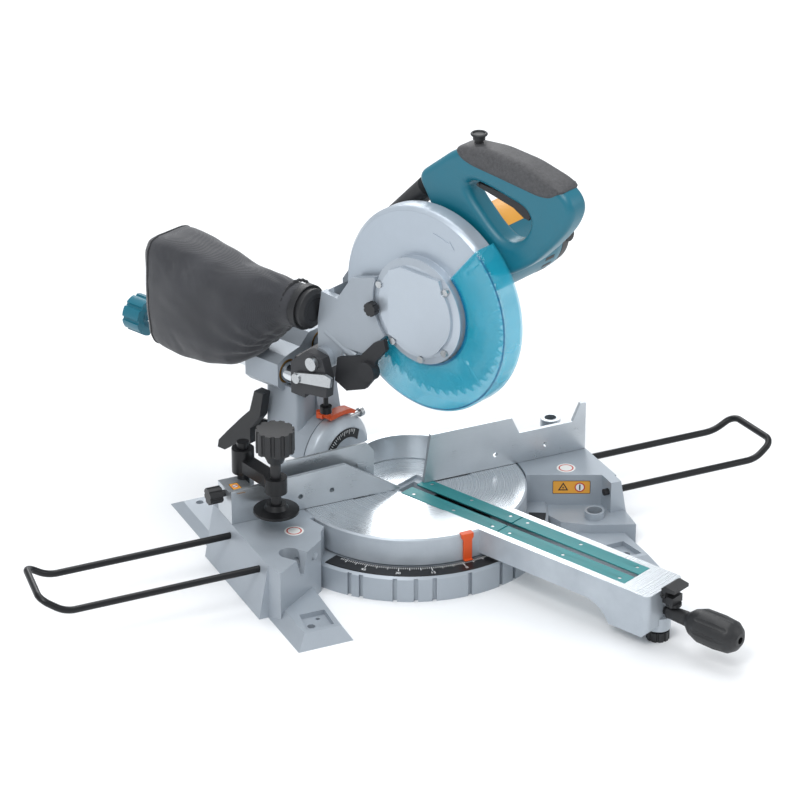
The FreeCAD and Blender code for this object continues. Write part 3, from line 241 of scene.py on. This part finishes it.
PAINT = surface("silver_paint_finish", "a3abb3", 0.3, 0.44, mottle=0.05, grain=0.16)
COVER = surface("centre_cover_finish", "b9c2cb", 0.5, 0.36, mottle=0.04, grain=0.1)
CASE = surface("blade_case_finish", "b2bcc6", 0.4, 0.38, mottle=0.04, grain=0.12)
FENCE = surface("milled_fence_finish", "c2c8cd", 0.8, 0.32, mottle=0.06, swing=0.08, grain=0.3,
                grain_size=0.0006, stretch=(0.03, 1, 1))
TABLE = turned_table()
SCALE_BLACK = surface("scale_black_finish", "1a1b1d", 0.1, 0.4, mottle=0.1)
ZINC = surface("zinc_finish", "b9bcbe", 0.9, 0.3, mottle=0.1, blotch=0.006, grain=0.12)
BLACK_STEEL = surface("black_steel_finish", "1b1c1e", 0.4, 0.34, mottle=0.15, blotch=0.01)
BLACK = surface("black_plastic_finish", "232426", 0.0, 0.48, mottle=0.12, grain=0.4,
                grain_size=0.0007)
DARK_GREY = surface("carriage_black_finish", "3a3b3e", 0.2, 0.5, mottle=0.12, grain=0.35)
KERF = surface("kerf_teal_finish", "1f8084", 0.0, 0.42, mottle=0.08, grain=0.3, grain_size=0.0012,
               stretch=(1, 0.15, 1))
ORANGE = surface("orange_finish", "d9541e", 0.0, 0.4, mottle=0.06)
TEAL = surface("teal_housing_finish", "0a687c", 0.0, 0.4, mottle=0.05, grain=0.25, grain_size=0.0008,
               Coat_Weight=0.15, Coat_Roughness=0.3)
RUBBER = surface("grip_rubber_finish", "4a4a4c", 0.0, 0.6, mottle=0.35, blotch=0.004, grain=0.8,
                 grain_size=0.0016)
BOOT = surface("boot_rubber_finish", "26272a", 0.0, 0.62, mottle=0.15, grain=0.5, grain_size=0.0012)
CLEAR = clear_plastic("clear_teal_finish", "2ebfdc", 0.26)
CLEAR_EDGE = clear_plastic("clear_teal_edge_finish", "0d6f9c", 0.6)
BLADE = surface("blade_finish", "b5babd", 0.95, 0.28, mottle=0.06, swing=0.08, grain=0.2,
                grain_size=0.0005)
TIP = surface("carbide_finish", "dfe3e6", 0.6, 0.35, mottle=0.05)
CHROME = surface("chrome_finish", "d5d9dc", 1.0, 0.1, mottle=0.03, swing=0.03, grain=0.05)
BRONZE = surface("bush_finish", "a07a45", 0.8, 0.4)
DRIVE = surface("drive_finish", "8d8f92", 0.9, 0.38, mottle=0.1)
BAG = woven("bag_cloth_finish", "3c3d41", 0.0009)
PIPING = woven("bag_piping_finish", "2a2b2e", 0.0006)
WHITE_INK = surface("white_ink_finish", "eceeee", 0.0, 0.55, mottle=0.03)
LABEL_YELLOW = surface("label_yellow_finish", "e8a33a", 0.0, 0.45, mottle=0.04)
LABEL_WHITE = surface("label_white_finish", "e9e9e6", 0.0, 0.45, mottle=0.03)
LABEL_RED = surface("label_red_finish", "c23a30", 0.0, 0.45, mottle=0.04)
LABEL_BLACK = surface("label_black_finish", "232323", 0.0, 0.45, mottle=0.06)

# What each CAD node is made of, and the width in millimetres to which its edges are broken.
FINISHES = (
    (PAINT, 0.9, ("base_casting", "bevel_arm_casting", "gear_case")),
    (CASE, 0.8, ("blade_case",)),
    (COVER, 0.5, ("centre_cover",)),
    (TABLE, 0.6, ("turntable_casting",)),
    (FENCE, 0.5, ("guide_fence",)),
    (SCALE_BLACK, 0.0, ("mitre_scale_plate", "bevel_scale_plate")),
    (ZINC, 0.3, ("fence_bolts", "pivot_bolt", "bevel_pivot_shaft", "head_pivot_pin", "cover_screws",
                 "kerf_board_screws", "blade_bolt", "blade_flanges", "depth_stop_arm",
                 "bevel_stop_bolt", "return_spring")),
    (BLACK_STEEL, 0.4, ("left_wire_support", "right_wire_support", "vise_post", "vise_arm",
                        "vise_pad", "grip_rod", "depth_stop_screw")),
    (BLACK, 0.6, ("vise_screw", "post_lock_knob", "front_foot_screw", "detent_lever", "mitre_grip",
                  "bevel_lock_lever", "slide_lock_knob", "handle_tube", "trigger", "case_knob",
                  "cord_gland", "motor_end_cap", "brush_caps", "bag_ring", "dust_nozzle",
                  "lock_off_button")),
    (DARK_GREY, 0.8, ("carriage_casting",)),
    (KERF, 0.3, ("kerf_boards_left", "kerf_boards_right")),
    (ORANGE, 0.5, ("mitre_pointer", "bevel_release_lever")),
    (TEAL, 0.8, ("motor_housing", "pole_end_cap", "handle_housing")),
    (RUBBER, 0.8, ("handle_grip",)),
    (BOOT, 1.2, ("dust_boot",)),
    (CLEAR, 0.0, ("lower_guard",)),
    (BLADE, 0.0, ("saw_blade",)),
    (CHROME, 0.0, ("slide_poles",)),
    (BRONZE, 0.0, ("pole_bushes",)),
    (DRIVE, 0.0, ("armature", "arbor_shaft")),
    (BAG, 0.0, ("dust_bag",)),
)


def dress():
    """Give every CAD node its finish, with its edges broken by modifiers."""
    for material, width, names in FINISHES:
        for name in names:
            obj = NODES[name]
            obj.data.materials.clear()
            obj.data.materials.append(material)
            if width:
                weld = obj.modifiers.new("weld", "WELD")
                weld.merge_threshold = 0.00001
                edge = obj.modifiers.new("edges", "BEVEL")
                edge.width = width * MM
                edge.segments = 2
                edge.limit_method = "ANGLE"
                edge.angle_limit = math.radians(42)
                edge.harden_normals = True
                level = obj.modifiers.new("level", "WEIGHTED_NORMAL")
                level.keep_sharp = True


# ---- mesh helpers ----

def piece(name, mesh, material, body, turn=ARM, angle=38):
    """An object from a mesh in millimetres, smooth but for its sharp edges, riding on a body."""
    mesh.transform(turn @ SCALE)
    mesh.update()
    obj = bpy.data.objects.new(name, mesh)
    bpy.context.scene.collection.objects.link(obj)
    for item in material if isinstance(material, tuple) else (material,):
        mesh.materials.append(item)
    mesh.polygons.foreach_set("use_smooth", [True] * len(mesh.polygons))
    mesh.set_sharp_from_angle(angle=math.radians(angle))
    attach(obj, body)
    return obj


def mesh_of(name, verts, faces):
    """A mesh with its faces turned outwards."""
    mesh = bpy.data.meshes.new(name)
    mesh.from_pydata([tuple(v) for v in verts], [], faces)
    bm = bmesh.new()
    bm.from_mesh(mesh)
    bmesh.ops.remove_doubles(bm, verts=bm.verts, dist=0.0001)
    bmesh.ops.recalc_face_normals(bm, faces=bm.faces)
    bm.to_mesh(mesh)
    bm.free()
    return mesh


def eased(corners, reach):
    """A closed 2-D outline whose corners are rounded, each by a curve that starts reach away."""
    steps = 6
    points = [Vector(c) for c in corners]
    done = []
    for index, corner in enumerate(points):
        before = points[index - 1] - corner
        after = points[(index + 1) % len(points)] - corner
        first = corner + before.normalized() * min(reach, 0.48 * before.length)
        last = corner + after.normalized() * min(reach, 0.48 * after.length)
        for step in range(steps + 1):
            t = step / steps
            done.append(first * (1 - t) ** 2 + corner * 2 * t * (1 - t) + last * t ** 2)
    return done


def wound(loop, left):
    """The loop wound so that its inside, or for a hole its outside, lies to the left."""
    area = sum(a.x * b.y - b.x * a.y for a, b in zip(loop, loop[1:] + loop[:1]))
    return loop if (area > 0) == left else loop[::-1]


def drawn_in(loop, distance):
    """A closed loop moved to its left by a distance."""
    moved = []
    for index, point in enumerate(loop):
        before = (point - loop[index - 1]).normalized()
        after = (loop[(index + 1) % len(loop)] - point).normalized()
        way = before + after
        moved.append(point + Vector((-way.y, way.x)).normalized() * distance)
    return moved


def pillow(name, outline, holes, middle, half, soft, to_space, steps=5):
    """A plate with rounded rims from an outline and holes. to_space places (u, v, height)."""
    loops = [wound(outline, True)] + [wound(hole, False) for hole in holes]
    verts = []
    faces = []
    levels = [(soft * (1 - math.sin(math.pi / 2 * k / steps)),
               half - soft * (1 - math.cos(math.pi / 2 * k / steps))) for k in range(steps + 1)]
    levels += [(inset, -height) for inset, height in reversed(levels)]
    rings = []
    for loop in loops:
        starts = []
        for inset, height in levels:
            starts.append(len(verts))
            verts += [to_space(p.x, p.y, middle + height) for p in drawn_in(loop, inset)]
        rings.append(starts)
        for low, high in zip(starts, starts[1:]):
            for index in range(len(loop)):
                after = (index + 1) % len(loop)
                faces.append((low + index, low + after, high + after, high + index))
    for level in (0, len(levels) - 1):
        flat = [[p.to_3d() for p in drawn_in(loop, levels[level][0])] for loop in loops]
        lookup = [starts[level] + index for loop, starts in zip(loops, rings)
                  for index in range(len(loop))]
        faces += [tuple(lookup[corner] for corner in triangle)
                  for triangle in tessellate_polygon(flat)]
    return mesh_of(name, verts, faces)


def side_on(u, v, height):
    """Plate drawn in Y-Z, thick along X."""
    return (height, u, v)


def top_on(u, v, height):
    """Plate drawn in X-Y, thick along Z."""
    return (u, v, height)


def lathe(name, axis, centre, profile, count=64, sweep=(0, 360)):
    """A closed profile of (along, radius) points swept about an axis through centre."""
    verts = []
    faces = []
    whole = sweep[1] - sweep[0] >= 360
    turns = count if whole else count + 1
    for step in range(turns):
        angle = math.radians(sweep[0] + (sweep[1] - sweep[0]) * step / count)
        for along, radius in profile:
            u = centre[0] + radius * math.cos(angle)
            v = centre[1] + radius * math.sin(angle)
            verts.append({"x": (along, u, v), "y": (u, along, v), "z": (u, v, along)}[axis])
    size = len(profile)
    for step in range(count):
        here = step * size
        there = ((step + 1) % turns) * size
        for index in range(size):
            after = (index + 1) % size
            faces.append((here + index, here + after, there + after, there + index))
    if not whole:
        faces.append(tuple(range(size)))
        faces.append(tuple((turns - 1) * size + index for index in range(size)))
    return mesh_of(name, verts, faces)


def tube(name, points, radius):
    """A round tube along a closed loop of points."""
    sides = 8
    line = [Vector(p) for p in points]
    count = len(line)
    verts = []
    faces = []
    normal = None
    for index, point in enumerate(line):
        way = (line[(index + 1) % count] - line[index - 1]).normalized()
        if normal is None:
            normal = way.orthogonal().normalized()
        normal = (normal - way * normal.dot(way)).normalized()
        cross = way.cross(normal)
        for side in range(sides):
            angle = 2 * math.pi * side / sides
            verts.append(point + (normal * math.cos(angle) + cross * math.sin(angle)) * radius)
    for index in range(count):
        here = index * sides
        there = (index + 1) % count * sides
        for side in range(sides):
            after = (side + 1) % sides
            faces.append((here + side, here + after, there + after, there + side))
    return mesh_of(name, verts, faces)


def joined(name, meshes):
    """Several meshes as one, each with its own material slot index."""
    bm = bmesh.new()
    for index, mesh in enumerate(meshes):
        first = len(bm.faces)
        bm.from_mesh(mesh)
        bm.faces.ensure_lookup_table()
        for face in bm.faces[first:]:
            face.material_index = index
    whole = bpy.data.meshes.new(name)
    bm.to_mesh(whole)
    bm.free()
    return whole


def merged(name, meshes):
    """Several meshes as one with one material."""
    bm = bmesh.new()
    for mesh in meshes:
        bm.from_mesh(mesh)
    whole = bpy.data.meshes.new(name)
    bm.to_mesh(whole)
    bm.free()
    return whole


def rectangle(width, height, centre=(0, 0)):
    """The corners of a rectangle about a centre."""
    x, y = centre
    return [(x - width / 2, y - height / 2), (x + width / 2, y - height / 2),
            (x + width / 2, y + height / 2), (x - width / 2, y + height / 2)]


def circle(radius, centre):
    """A round outline."""
    count = 32
    return [Vector((centre[0] + radius * math.cos(2 * math.pi * k / count),
                    centre[1] + radius * math.sin(2 * math.pi * k / count)))
            for k in range(count)]


# ---- handle ----

def handle():
    """The D handle's housing and its rubber grip, both with full round edges."""
    outer = [(8, 446), (-23, 471), (-44, 488), (-66, 497), (-104, 500), (-150, 496), (-188, 487),
             (-208, 477), (-216, 460), (-208, 438), (-188, 413), (-160, 384), (-136, 366),
             (-110, 352), (-60, 352), (-30, 352), (-26, 392), (-14, 412)]
    opening = [(-63, 455), (-78, 461), (-104, 457), (-150, 447), (-158, 432), (-146, 408),
               (-124, 399), (-104, 410), (-72, 440)]
    body = pillow("handle_shell", eased(outer, 14), [eased(opening, 12)], HANDLE_MIDDLE,
                  15.6, 9, side_on)
    shell = piece("handle_shell", body, TEAL, "head")
    flatten(shell)
    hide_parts("handle_housing")
    grip = [(-47, 493), (-64, 500), (-104, 503.4), (-150, 499.4), (-190, 489.6), (-205, 482),
            (-188, 467), (-170, 464.5), (-114, 471), (-72, 475.5), (-55, 481)]
    cover = pillow("handle_pad", eased(grip, 9), [], HANDLE_MIDDLE, 17.4, 9, side_on)
    pad = piece("handle_pad", cover, RUBBER, "head")
    flatten(pad)
    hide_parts("handle_grip")


def flatten(obj):
    """Weight the normals by face size, so that large flats shade flat."""
    level = obj.modifiers.new("level", "WEIGHTED_NORMAL")
    level.keep_sharp = True


# ---- dust bag ----

def bag_section(y, x, z, half_x, half_z, power, count=40):
    """A rounded-square ring of points about a centre, across Y."""
    ring = []
    for index in range(count):
        angle = 2 * math.pi * index / count
        c, s = math.cos(angle), math.sin(angle)
        ring.append(Vector((x + half_x * math.copysign(abs(c) ** power, c), y,
                            z + half_z * math.copysign(abs(s) ** power, s))))
    return ring


def dust_bag():
    """A sewn cloth bag: lofted, puffed by a cloth simulation, then given its seams."""
    sections = ((136, -31, 262, 25, 25, 1.0), (150, -33, 261, 27, 27, 1.0),
                (164, -42, 256, 32, 37, 0.85), (180, -52, 248, 36, 49, 0.7),
                (204, -59, 241, 39, 60, 0.56), (236, -62, 241, 41, 67, 0.48),
                (272, -63, 244, 41, 70, 0.44), (304, -64, 246, 41, 70, 0.44),
                (320, -64, 247, 39, 69, 0.46), (326, -64, 248, 34, 64, 0.5))
    rings = [bag_section(*section) for section in sections]
    verts = [point for ring in rings for point in ring]
    count = len(rings[0])
    faces = [(k * count + i, k * count + (i + 1) % count, (k + 1) * count + (i + 1) % count,
              (k + 1) * count + i) for k in range(len(rings) - 1) for i in range(count)]
    faces.append(tuple(range(count)))
    faces.append(tuple((len(rings) - 1) * count + i for i in range(count)))
    bag = piece("dust_bag_cloth", mesh_of("dust_bag_cloth", verts, faces), BAG, "head",
                angle=180)
    bag.parent = None
    puff(bag)
    crease(bag)
    bag_trim(bag)
    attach(bag, "head")
    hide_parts("dust_bag")


def puff(bag):
    """Blow the bag up a little as cloth, held at its neck, so that it swells and pulls in."""
    remesh = bag.modifiers.new("remesh", "REMESH")
    remesh.mode = "VOXEL"
    remesh.voxel_size = 0.005
    bpy.context.view_layer.objects.active = bag
    bag.select_set(True)
    bpy.ops.object.modifier_apply(modifier=remesh.name)
    start = [v.co.copy() for v in bag.data.vertices]
    held = bag.vertex_groups.new(name="held")
    for vertex in bag.data.vertices:
        along = (ARM.inverted() @ vertex.co).y
        if along < 0.156:
            held.add([vertex.index], 1.0, "REPLACE")
    cloth = bag.modifiers.new("cloth", "CLOTH")
    cloth.settings.quality = 6
    cloth.settings.mass = 0.25
    cloth.settings.tension_stiffness = 12
    cloth.settings.compression_stiffness = 12
    cloth.settings.bending_stiffness = 0.4
    cloth.settings.use_pressure = True
    cloth.settings.uniform_pressure_force = 1.6
    cloth.settings.vertex_group_mass = "held"
    cloth.settings.effector_weights.gravity = 0.0
    cloth.collision_settings.use_self_collision = False
    scene = bpy.context.scene
    for number in range(1, 19):
        scene.frame_set(number)
    graph = bpy.context.evaluated_depsgraph_get()
    done = [v.co.copy() for v in bag.evaluated_get(graph).data.vertices]
    bag.modifiers.remove(cloth)
    bag.vertex_groups.clear()
    scene.frame_set(1)
    limit = 0.009
    for vertex, before, after in zip(bag.data.vertices, start, done):
        step = after - before
        if step.length > limit:
            step = step.normalized() * limit
        vertex.co = before + step
    bag.data.update()


def crease(bag):
    """Folds that run from the neck and the lower corner, and shallow dents along the sides."""
    back = ARM.inverted()
    normals = [v.normal.copy() for v in bag.data.vertices]
    for vertex, normal in zip(bag.data.vertices, normals):
        place = back @ vertex.co / MM
        low_corner = max(0.0, 1 - (Vector((place.y - 172, place.z - 206)).length) / 62)
        near_neck = max(0.0, 1 - abs(place.y - 160) / 26)
        angle = math.atan2(place.z - 206, place.y - 158)
        fan = math.sin(angle * 13 + 0.9) * low_corner * 2.6
        cuff = math.sin(math.atan2(place.z - 262, place.x + 31) * 15) * near_neck * 0.9
        dents = noise.noise(Vector((place.x / 40, place.y / 46, place.z / 34))) * 2.6
        dents += noise.noise(Vector((place.x / 15, place.y / 22, place.z / 13))) * 0.7
        held = 1.0 if place.y > 160 else max(0.0, (place.y - 146) / 14)
        vertex.co += normal * (fan + cuff + dents) * held * MM
    bag.data.update()
    smooth = bag.modifiers.new("smooth", "SUBSURF")
    smooth.levels = smooth.render_levels = 1


def bag_trim(bag):
    """The piping laid on the bag round its rear end, and its elastic cuff."""
    count = 96
    seam = []
    for point in bag_section(316, -64, 247, 44, 74, 0.4, count):
        place = bag.closest_point_on_mesh(ARM @ (point * MM))[1]
        seam.append((ARM.inverted() @ place) / MM)
    piece("bag_end_seam", tube("bag_end_seam", seam, 1.3), PIPING, "head")
    cuff = []
    for index in range(count):
        angle = 2 * math.pi * index / count
        radius = 27.2 + 0.5 * math.sin(24 * angle)
        cuff.append((NOZZLE[0] + radius * math.cos(angle), 148,
                     NOZZLE[1] + radius * math.sin(angle)))
    piece("bag_cuff", tube("bag_cuff", cuff, 1.9), PIPING, "head")


# ---- scales and labels ----

def on_ring(radius, angle):
    """A point at an angle in degrees from the front, positive to the right."""
    turn = math.radians(angle)
    return radius * math.sin(turn), -radius * math.cos(turn)


def tick(angle, inner, outer, width, height):
    """A mark on the mitre scale, as a thin plate."""
    out = Vector(on_ring(1, angle))
    along = Vector((-out.y, out.x))
    corners = [out * inner - along * width / 2, out * inner + along * width / 2,
               out * outer + along * width / 2, out * outer - along * width / 2]
    base = [(c.x, c.y, height) for c in corners]
    top = [(c.x, c.y, height + 0.12) for c in corners]
    return base + top


BOX_FACES = [(0, 1, 2, 3), (4, 5, 6, 7), (0, 1, 5, 4), (1, 2, 6, 5), (2, 3, 7, 6), (3, 0, 4, 7)]


def numeral(text, size, to_space):
    """A number as flat mesh, placed by to_space(u, v)."""
    data = bpy.data.curves.new("numeral", "FONT")
    data.body = text
    data.size = size
    data.align_x = "CENTER"
    data.align_y = "CENTER"
    data.extrude = 0.05
    obj = bpy.data.objects.new("numeral", data)
    bpy.context.scene.collection.objects.link(obj)
    bpy.context.view_layer.update()
    graph = bpy.context.evaluated_depsgraph_get()
    mesh = bpy.data.meshes.new_from_object(obj.evaluated_get(graph))
    for vertex in mesh.vertices:
        vertex.co = to_space(vertex.co.x, vertex.co.y, vertex.co.z)
    bpy.data.objects.remove(obj)
    return mesh


def mitre_scale_marks():
    """Degree marks and numbers on the black ring of the base."""
    level = 32.2
    verts = []
    faces = []
    for angle in range(-58, 59):
        outer = 148 if angle % 15 == 0 else 145.5 if angle % 5 == 0 else 143
        start = len(verts)
        verts += tick(angle, 139.5, outer, 0.55 if angle % 5 else 0.8, level)
        faces += [tuple(start + corner for corner in face) for face in BOX_FACES]
    meshes = [mesh_of("marks", verts, faces)]
    for angle in (-45, -30, -15, 0, 15, 30, 45):
        x, y = on_ring(152.4, angle)
        turn = Matrix.Rotation(math.radians(angle), 3, "Z")
        meshes.append(numeral(str(abs(angle)), 6.2,
                              lambda u, v, w: turn @ Vector((u, v, 0)) + Vector((x, y, level + w))))
    piece("mitre_scale_marks", merged("mitre_scale_marks", meshes), WHITE_INK, "base",
          STILL)


def bevel_scale_marks():
    """Degree marks on the bevel joint's dark sector."""
    verts = []
    faces = []
    face_y = 98.5
    for angle in range(66, 156, 5):
        turn = math.radians(angle)
        out = Vector((math.cos(turn), math.sin(turn)))
        along = Vector((-out.y, out.x))
        inner = 30 if angle % 15 == 6 else 32.5
        for depth in (0, 0.12):
            for radius, side in ((inner, -1), (inner, 1), (36.2, 1), (36.2, -1)):
                spot = out * radius + along * side * 0.35
                verts.append((spot.x, face_y - depth, TABLE_TOP + spot.y))
        start = len(verts) - 8
        faces += [tuple(start + corner for corner in face) for face in BOX_FACES]
    piece("bevel_scale_marks", mesh_of("bevel_scale_marks", verts, faces), WHITE_INK, "turntable")


def label(name, body, parts, turn=ARM):
    """A printed label: (outline, holes, material, level, to_space) parts, each a thin plate."""
    meshes = []
    materials = []
    for outline, holes, material, level, to_space in parts:
        meshes.append(pillow(name, outline, holes, level, 0.08, 0.03, to_space, steps=1))
        materials.append(material)
    return piece(name, joined(name, meshes), tuple(materials), body, turn)


def shrunk(loop, share):
    """A loop drawn towards its middle."""
    middle = sum((Vector(p) for p in loop), Vector((0, 0))) / len(loop)
    return [middle + (Vector(p) - middle) * share for p in loop]


def warning_parts(width, height, to_space, level, out):
    """A plain yellow label with a black edge, a triangle sign and a round sign.

    The prints lie in thin layers on the label; out is the way they face, 1 or -1.
    """
    outline = eased(rectangle(width, height), 1.5)
    inner = eased(rectangle(width - 1.2, height - 1.2), 1.2)
    shift = width * 0.22
    size = height * 0.36
    triangle = [Vector((-shift + size * 1.15 * math.cos(a), -0.6 + size * 1.15 * math.sin(a)))
                for a in (math.pi / 2, math.pi * 7 / 6, math.pi * 11 / 6)]
    disc = circle(size, (shift, 0))
    bar = [Vector(corner) for corner in rectangle(1.6, size * 1.2, (shift, 0))]
    first = level + 0.06 * out
    return [(outline, [inner], LABEL_BLACK, first, to_space),
            (outline, [], LABEL_YELLOW, level, to_space),
            (triangle, [shrunk(triangle, 0.62)], LABEL_BLACK, first, to_space),
            (shrunk(triangle, 0.24), [], LABEL_BLACK, first, to_space),
            (disc, [], LABEL_WHITE, first, to_space),
            (disc, [shrunk(disc, 0.76)], LABEL_RED, level + 0.1 * out, to_space),
            (bar, [], LABEL_BLACK, level + 0.12 * out, to_space)]


def round_label(name, centre):
    """A round white and red sign on a block of the base."""
    spot = circle(11, centre)
    label(name, "base", [
        (spot, [], LABEL_WHITE, TABLE_TOP + 0.1, top_on),
        (shrunk(spot, 0.8), [shrunk(spot, 0.66)], LABEL_RED, TABLE_TOP + 0.16, top_on)], STILL)


def motor_patch(name, along, sweep, count=14):
    """A thin patch laid on the motor housing, between two places along it and two angles."""
    low, high = along
    inner, outer = MOTOR_RADIUS, MOTOR_RADIUS + 0.2
    return lathe(name, "x", MOTOR, [(low, inner), (low, outer), (high, outer), (high, inner)],
                 count, sweep)


def motor_details():
    """The yellow sticker over the top of the motor housing, and black patches laid where its cooling
    vents are: painted shade standing in for the openings.
    """
    piece("motor_label", motor_patch("motor_label", (58, 112), (58, 128)), LABEL_YELLOW, "head")
    # The cooling vents are thin black patches on the housing, not openings: painted shade in their
    # place.
    slot_shade = [motor_patch("motor_slot_shade", (114, 129), (angle, angle + 6), 3)
             for angle in range(142, 398, 14)]
    piece("motor_slot_shade", merged("motor_slot_shade", slot_shade), BLACK, "head")


def case_arrow():
    """The raised arrow on the blade case that shows which way the blade turns."""
    reach = 94
    half_width = 5.5
    shaft = lathe("case_arrow", "x", ARBOR, [(-11.7, reach - 2), (-11.7, reach + 2),
                                             (-10.9, reach + 2), (-10.9, reach - 2)], 12, (98, 112))
    corners = []
    for radius, angle in ((reach - half_width, 112), (reach + half_width, 112), (reach, 118)):
        turn = math.radians(angle)
        corners.append(Vector((ARBOR[0] + radius * math.cos(turn),
                               ARBOR[1] + radius * math.sin(turn))))
    head = pillow("case_arrow", corners, [], -11.3, 0.4, 0.1, side_on, steps=1)
    piece("case_arrow", merged("case_arrow", [shaft, head]), CASE, "head")


def labels():
    """Plain stickers where the saw carries its own."""
    place = Matrix.Translation((180, -59.4, 0))
    face = Matrix.Rotation(math.radians(-24.8), 4, "Z")
    label("block_front_label", "base",
          warning_parts(44, 17, lambda u, v, w: place @ face @ Vector((u, w, v + 50)), -0.2, -1),
          STILL)
    label("fence_end_label", "base",
          warning_parts(26, 11, lambda u, v, w: Vector((-213 - v, 6 + u, 104 + w)), 0.15, 1),
          STILL)
    round_label("left_block_label", (-167, -49))
    round_label("right_block_label", (182, -41))


def guard_edges():
    """The deeper-coloured edges of the clear guard: along the round cover and down its open end."""
    inner = lathe("guard_inner_edge", "x", ARBOR,
                  [(-15.3, 64.6), (-15.3, 67.4), (-12.6, 67.4), (-12.6, 64.6)], 96, (132, 315))
    rim = lathe("guard_rim_edge", "x", ARBOR,
                [(-14.2, 120.6), (-15.3, 119.4), (-14.9, 118.6), (-13.6, 120.2)], 96, (132, 315))
    piece("guard_edges", merged("guard_edges", [inner, rim]), CLEAR_EDGE, "guard")


def blade_tips():
    """The carbide tips brazed to the blade's teeth."""
    verts = []
    faces = []
    for index in range(BLADE_TEETH):
        turn = 2 * math.pi * index / BLADE_TEETH
        out = Vector((math.cos(turn), math.sin(turn)))
        along = Vector((-out.y, out.x))
        start = len(verts)
        for side in (-1.3, 1.3):
            for radius, shift in ((101.5, 0.0), (108, 0.0), (108, 2.0), (101.5, 2.4)):
                spot = out * radius + along * shift
                verts.append((side, ARBOR[0] + spot.x, ARBOR[1] + spot.y))
        faces += [tuple(start + corner for corner in box) for box in BOX_FACES]
    piece("blade_tips", mesh_of("blade_tips", verts, faces), TIP, "blade")


def nozzle_throat():
    """A solid plug in the dust nozzle's bore. It is black plastic like the nozzle, and its closed
    end is painted shade that stands in for the dark hollow beyond.
    """
    # The plug closes the bore so that the inside of the nozzle reads dark: painted shade.
    shade_plug = lathe("nozzle_throat", "y", NOZZLE,
                   [(119.5, 0), (119.5, 14), (123, 20.8), (136, 20.8), (136, 0)])
    piece("nozzle_throat", shade_plug, BLACK, "head")


# ---- set ----

def lamp(name, place, aim, size, power, colour=(1, 1, 1)):
    """A square soft light that looks at a point."""
    data = bpy.data.lights.new(name, "AREA")
    data.size = size
    data.energy = power
    data.color = colour
    obj = bpy.data.objects.new(name, data)
    bpy.context.scene.collection.objects.link(obj)
    obj.location = place
    obj.rotation_euler = (Vector(aim) - Vector(place)).to_track_quat("-Z", "Y").to_euler()


def studio():
    """Camera, pale floor and soft lights."""
    azimuth, elevation, distance = math.radians(-24.83), math.radians(26.35), 4.066
    target = Vector((0.0026, 0.0329, 0.1587))
    back = Vector((math.sin(azimuth) * math.cos(elevation),
                   -math.cos(azimuth) * math.cos(elevation), math.sin(elevation)))
    data = bpy.data.cameras.new("camera")
    data.sensor_width = 36
    data.lens = 158.6
    camera = bpy.data.objects.new("camera", data)
    bpy.context.scene.collection.objects.link(camera)
    camera.location = target + back * distance
    camera.rotation_euler = (-back).to_track_quat("-Z", "Y").to_euler()
    bpy.context.scene.camera = camera

    floor_mesh = bpy.data.meshes.new("floor")
    side = 14
    corners = [(-side, -side, 0), (side, -side, 0), (side, side, 0), (-side, side, 0)]
    floor_mesh.from_pydata(corners, [], [(0, 1, 2, 3)])
    floor = bpy.data.objects.new("floor", floor_mesh)
    bpy.context.scene.collection.objects.link(floor)
    floor_mesh.materials.append(surface("floor_finish", "f4f5f6", 0.0, 0.8, mottle=0.01, blotch=0.5,
                                        grain=0.02, grain_size=0.01))

    world = bpy.data.worlds.new("world")
    bpy.context.scene.world = world
    world.use_nodes = True
    world.node_tree.nodes["Background"].inputs["Color"].default_value = (0.93, 0.96, 1.0, 1)
    world.node_tree.nodes["Background"].inputs["Strength"].default_value = 0.62
    aim = (0, 0, 0.2)
    lamp("key_light", (-1.6, -1.4, 2.6), aim, 1.4, 44)
    lamp("fill_light", (2.4, -1.8, 1.6), aim, 1.8, 18)
    lamp("top_light", (0.2, 0.6, 3.0), aim, 2.0, 34)
    lamp("rim_light", (0.8, 2.6, 1.8), aim, 1.4, 26)
    bpy.context.scene.view_settings.view_transform = "Standard"


dress()
studio()
handle()
dust_bag()
mitre_scale_marks()
bevel_scale_marks()
labels()
motor_details()
case_arrow()
guard_edges()
blade_tips()
nozzle_throat()

bpy.context.view_layer.update()
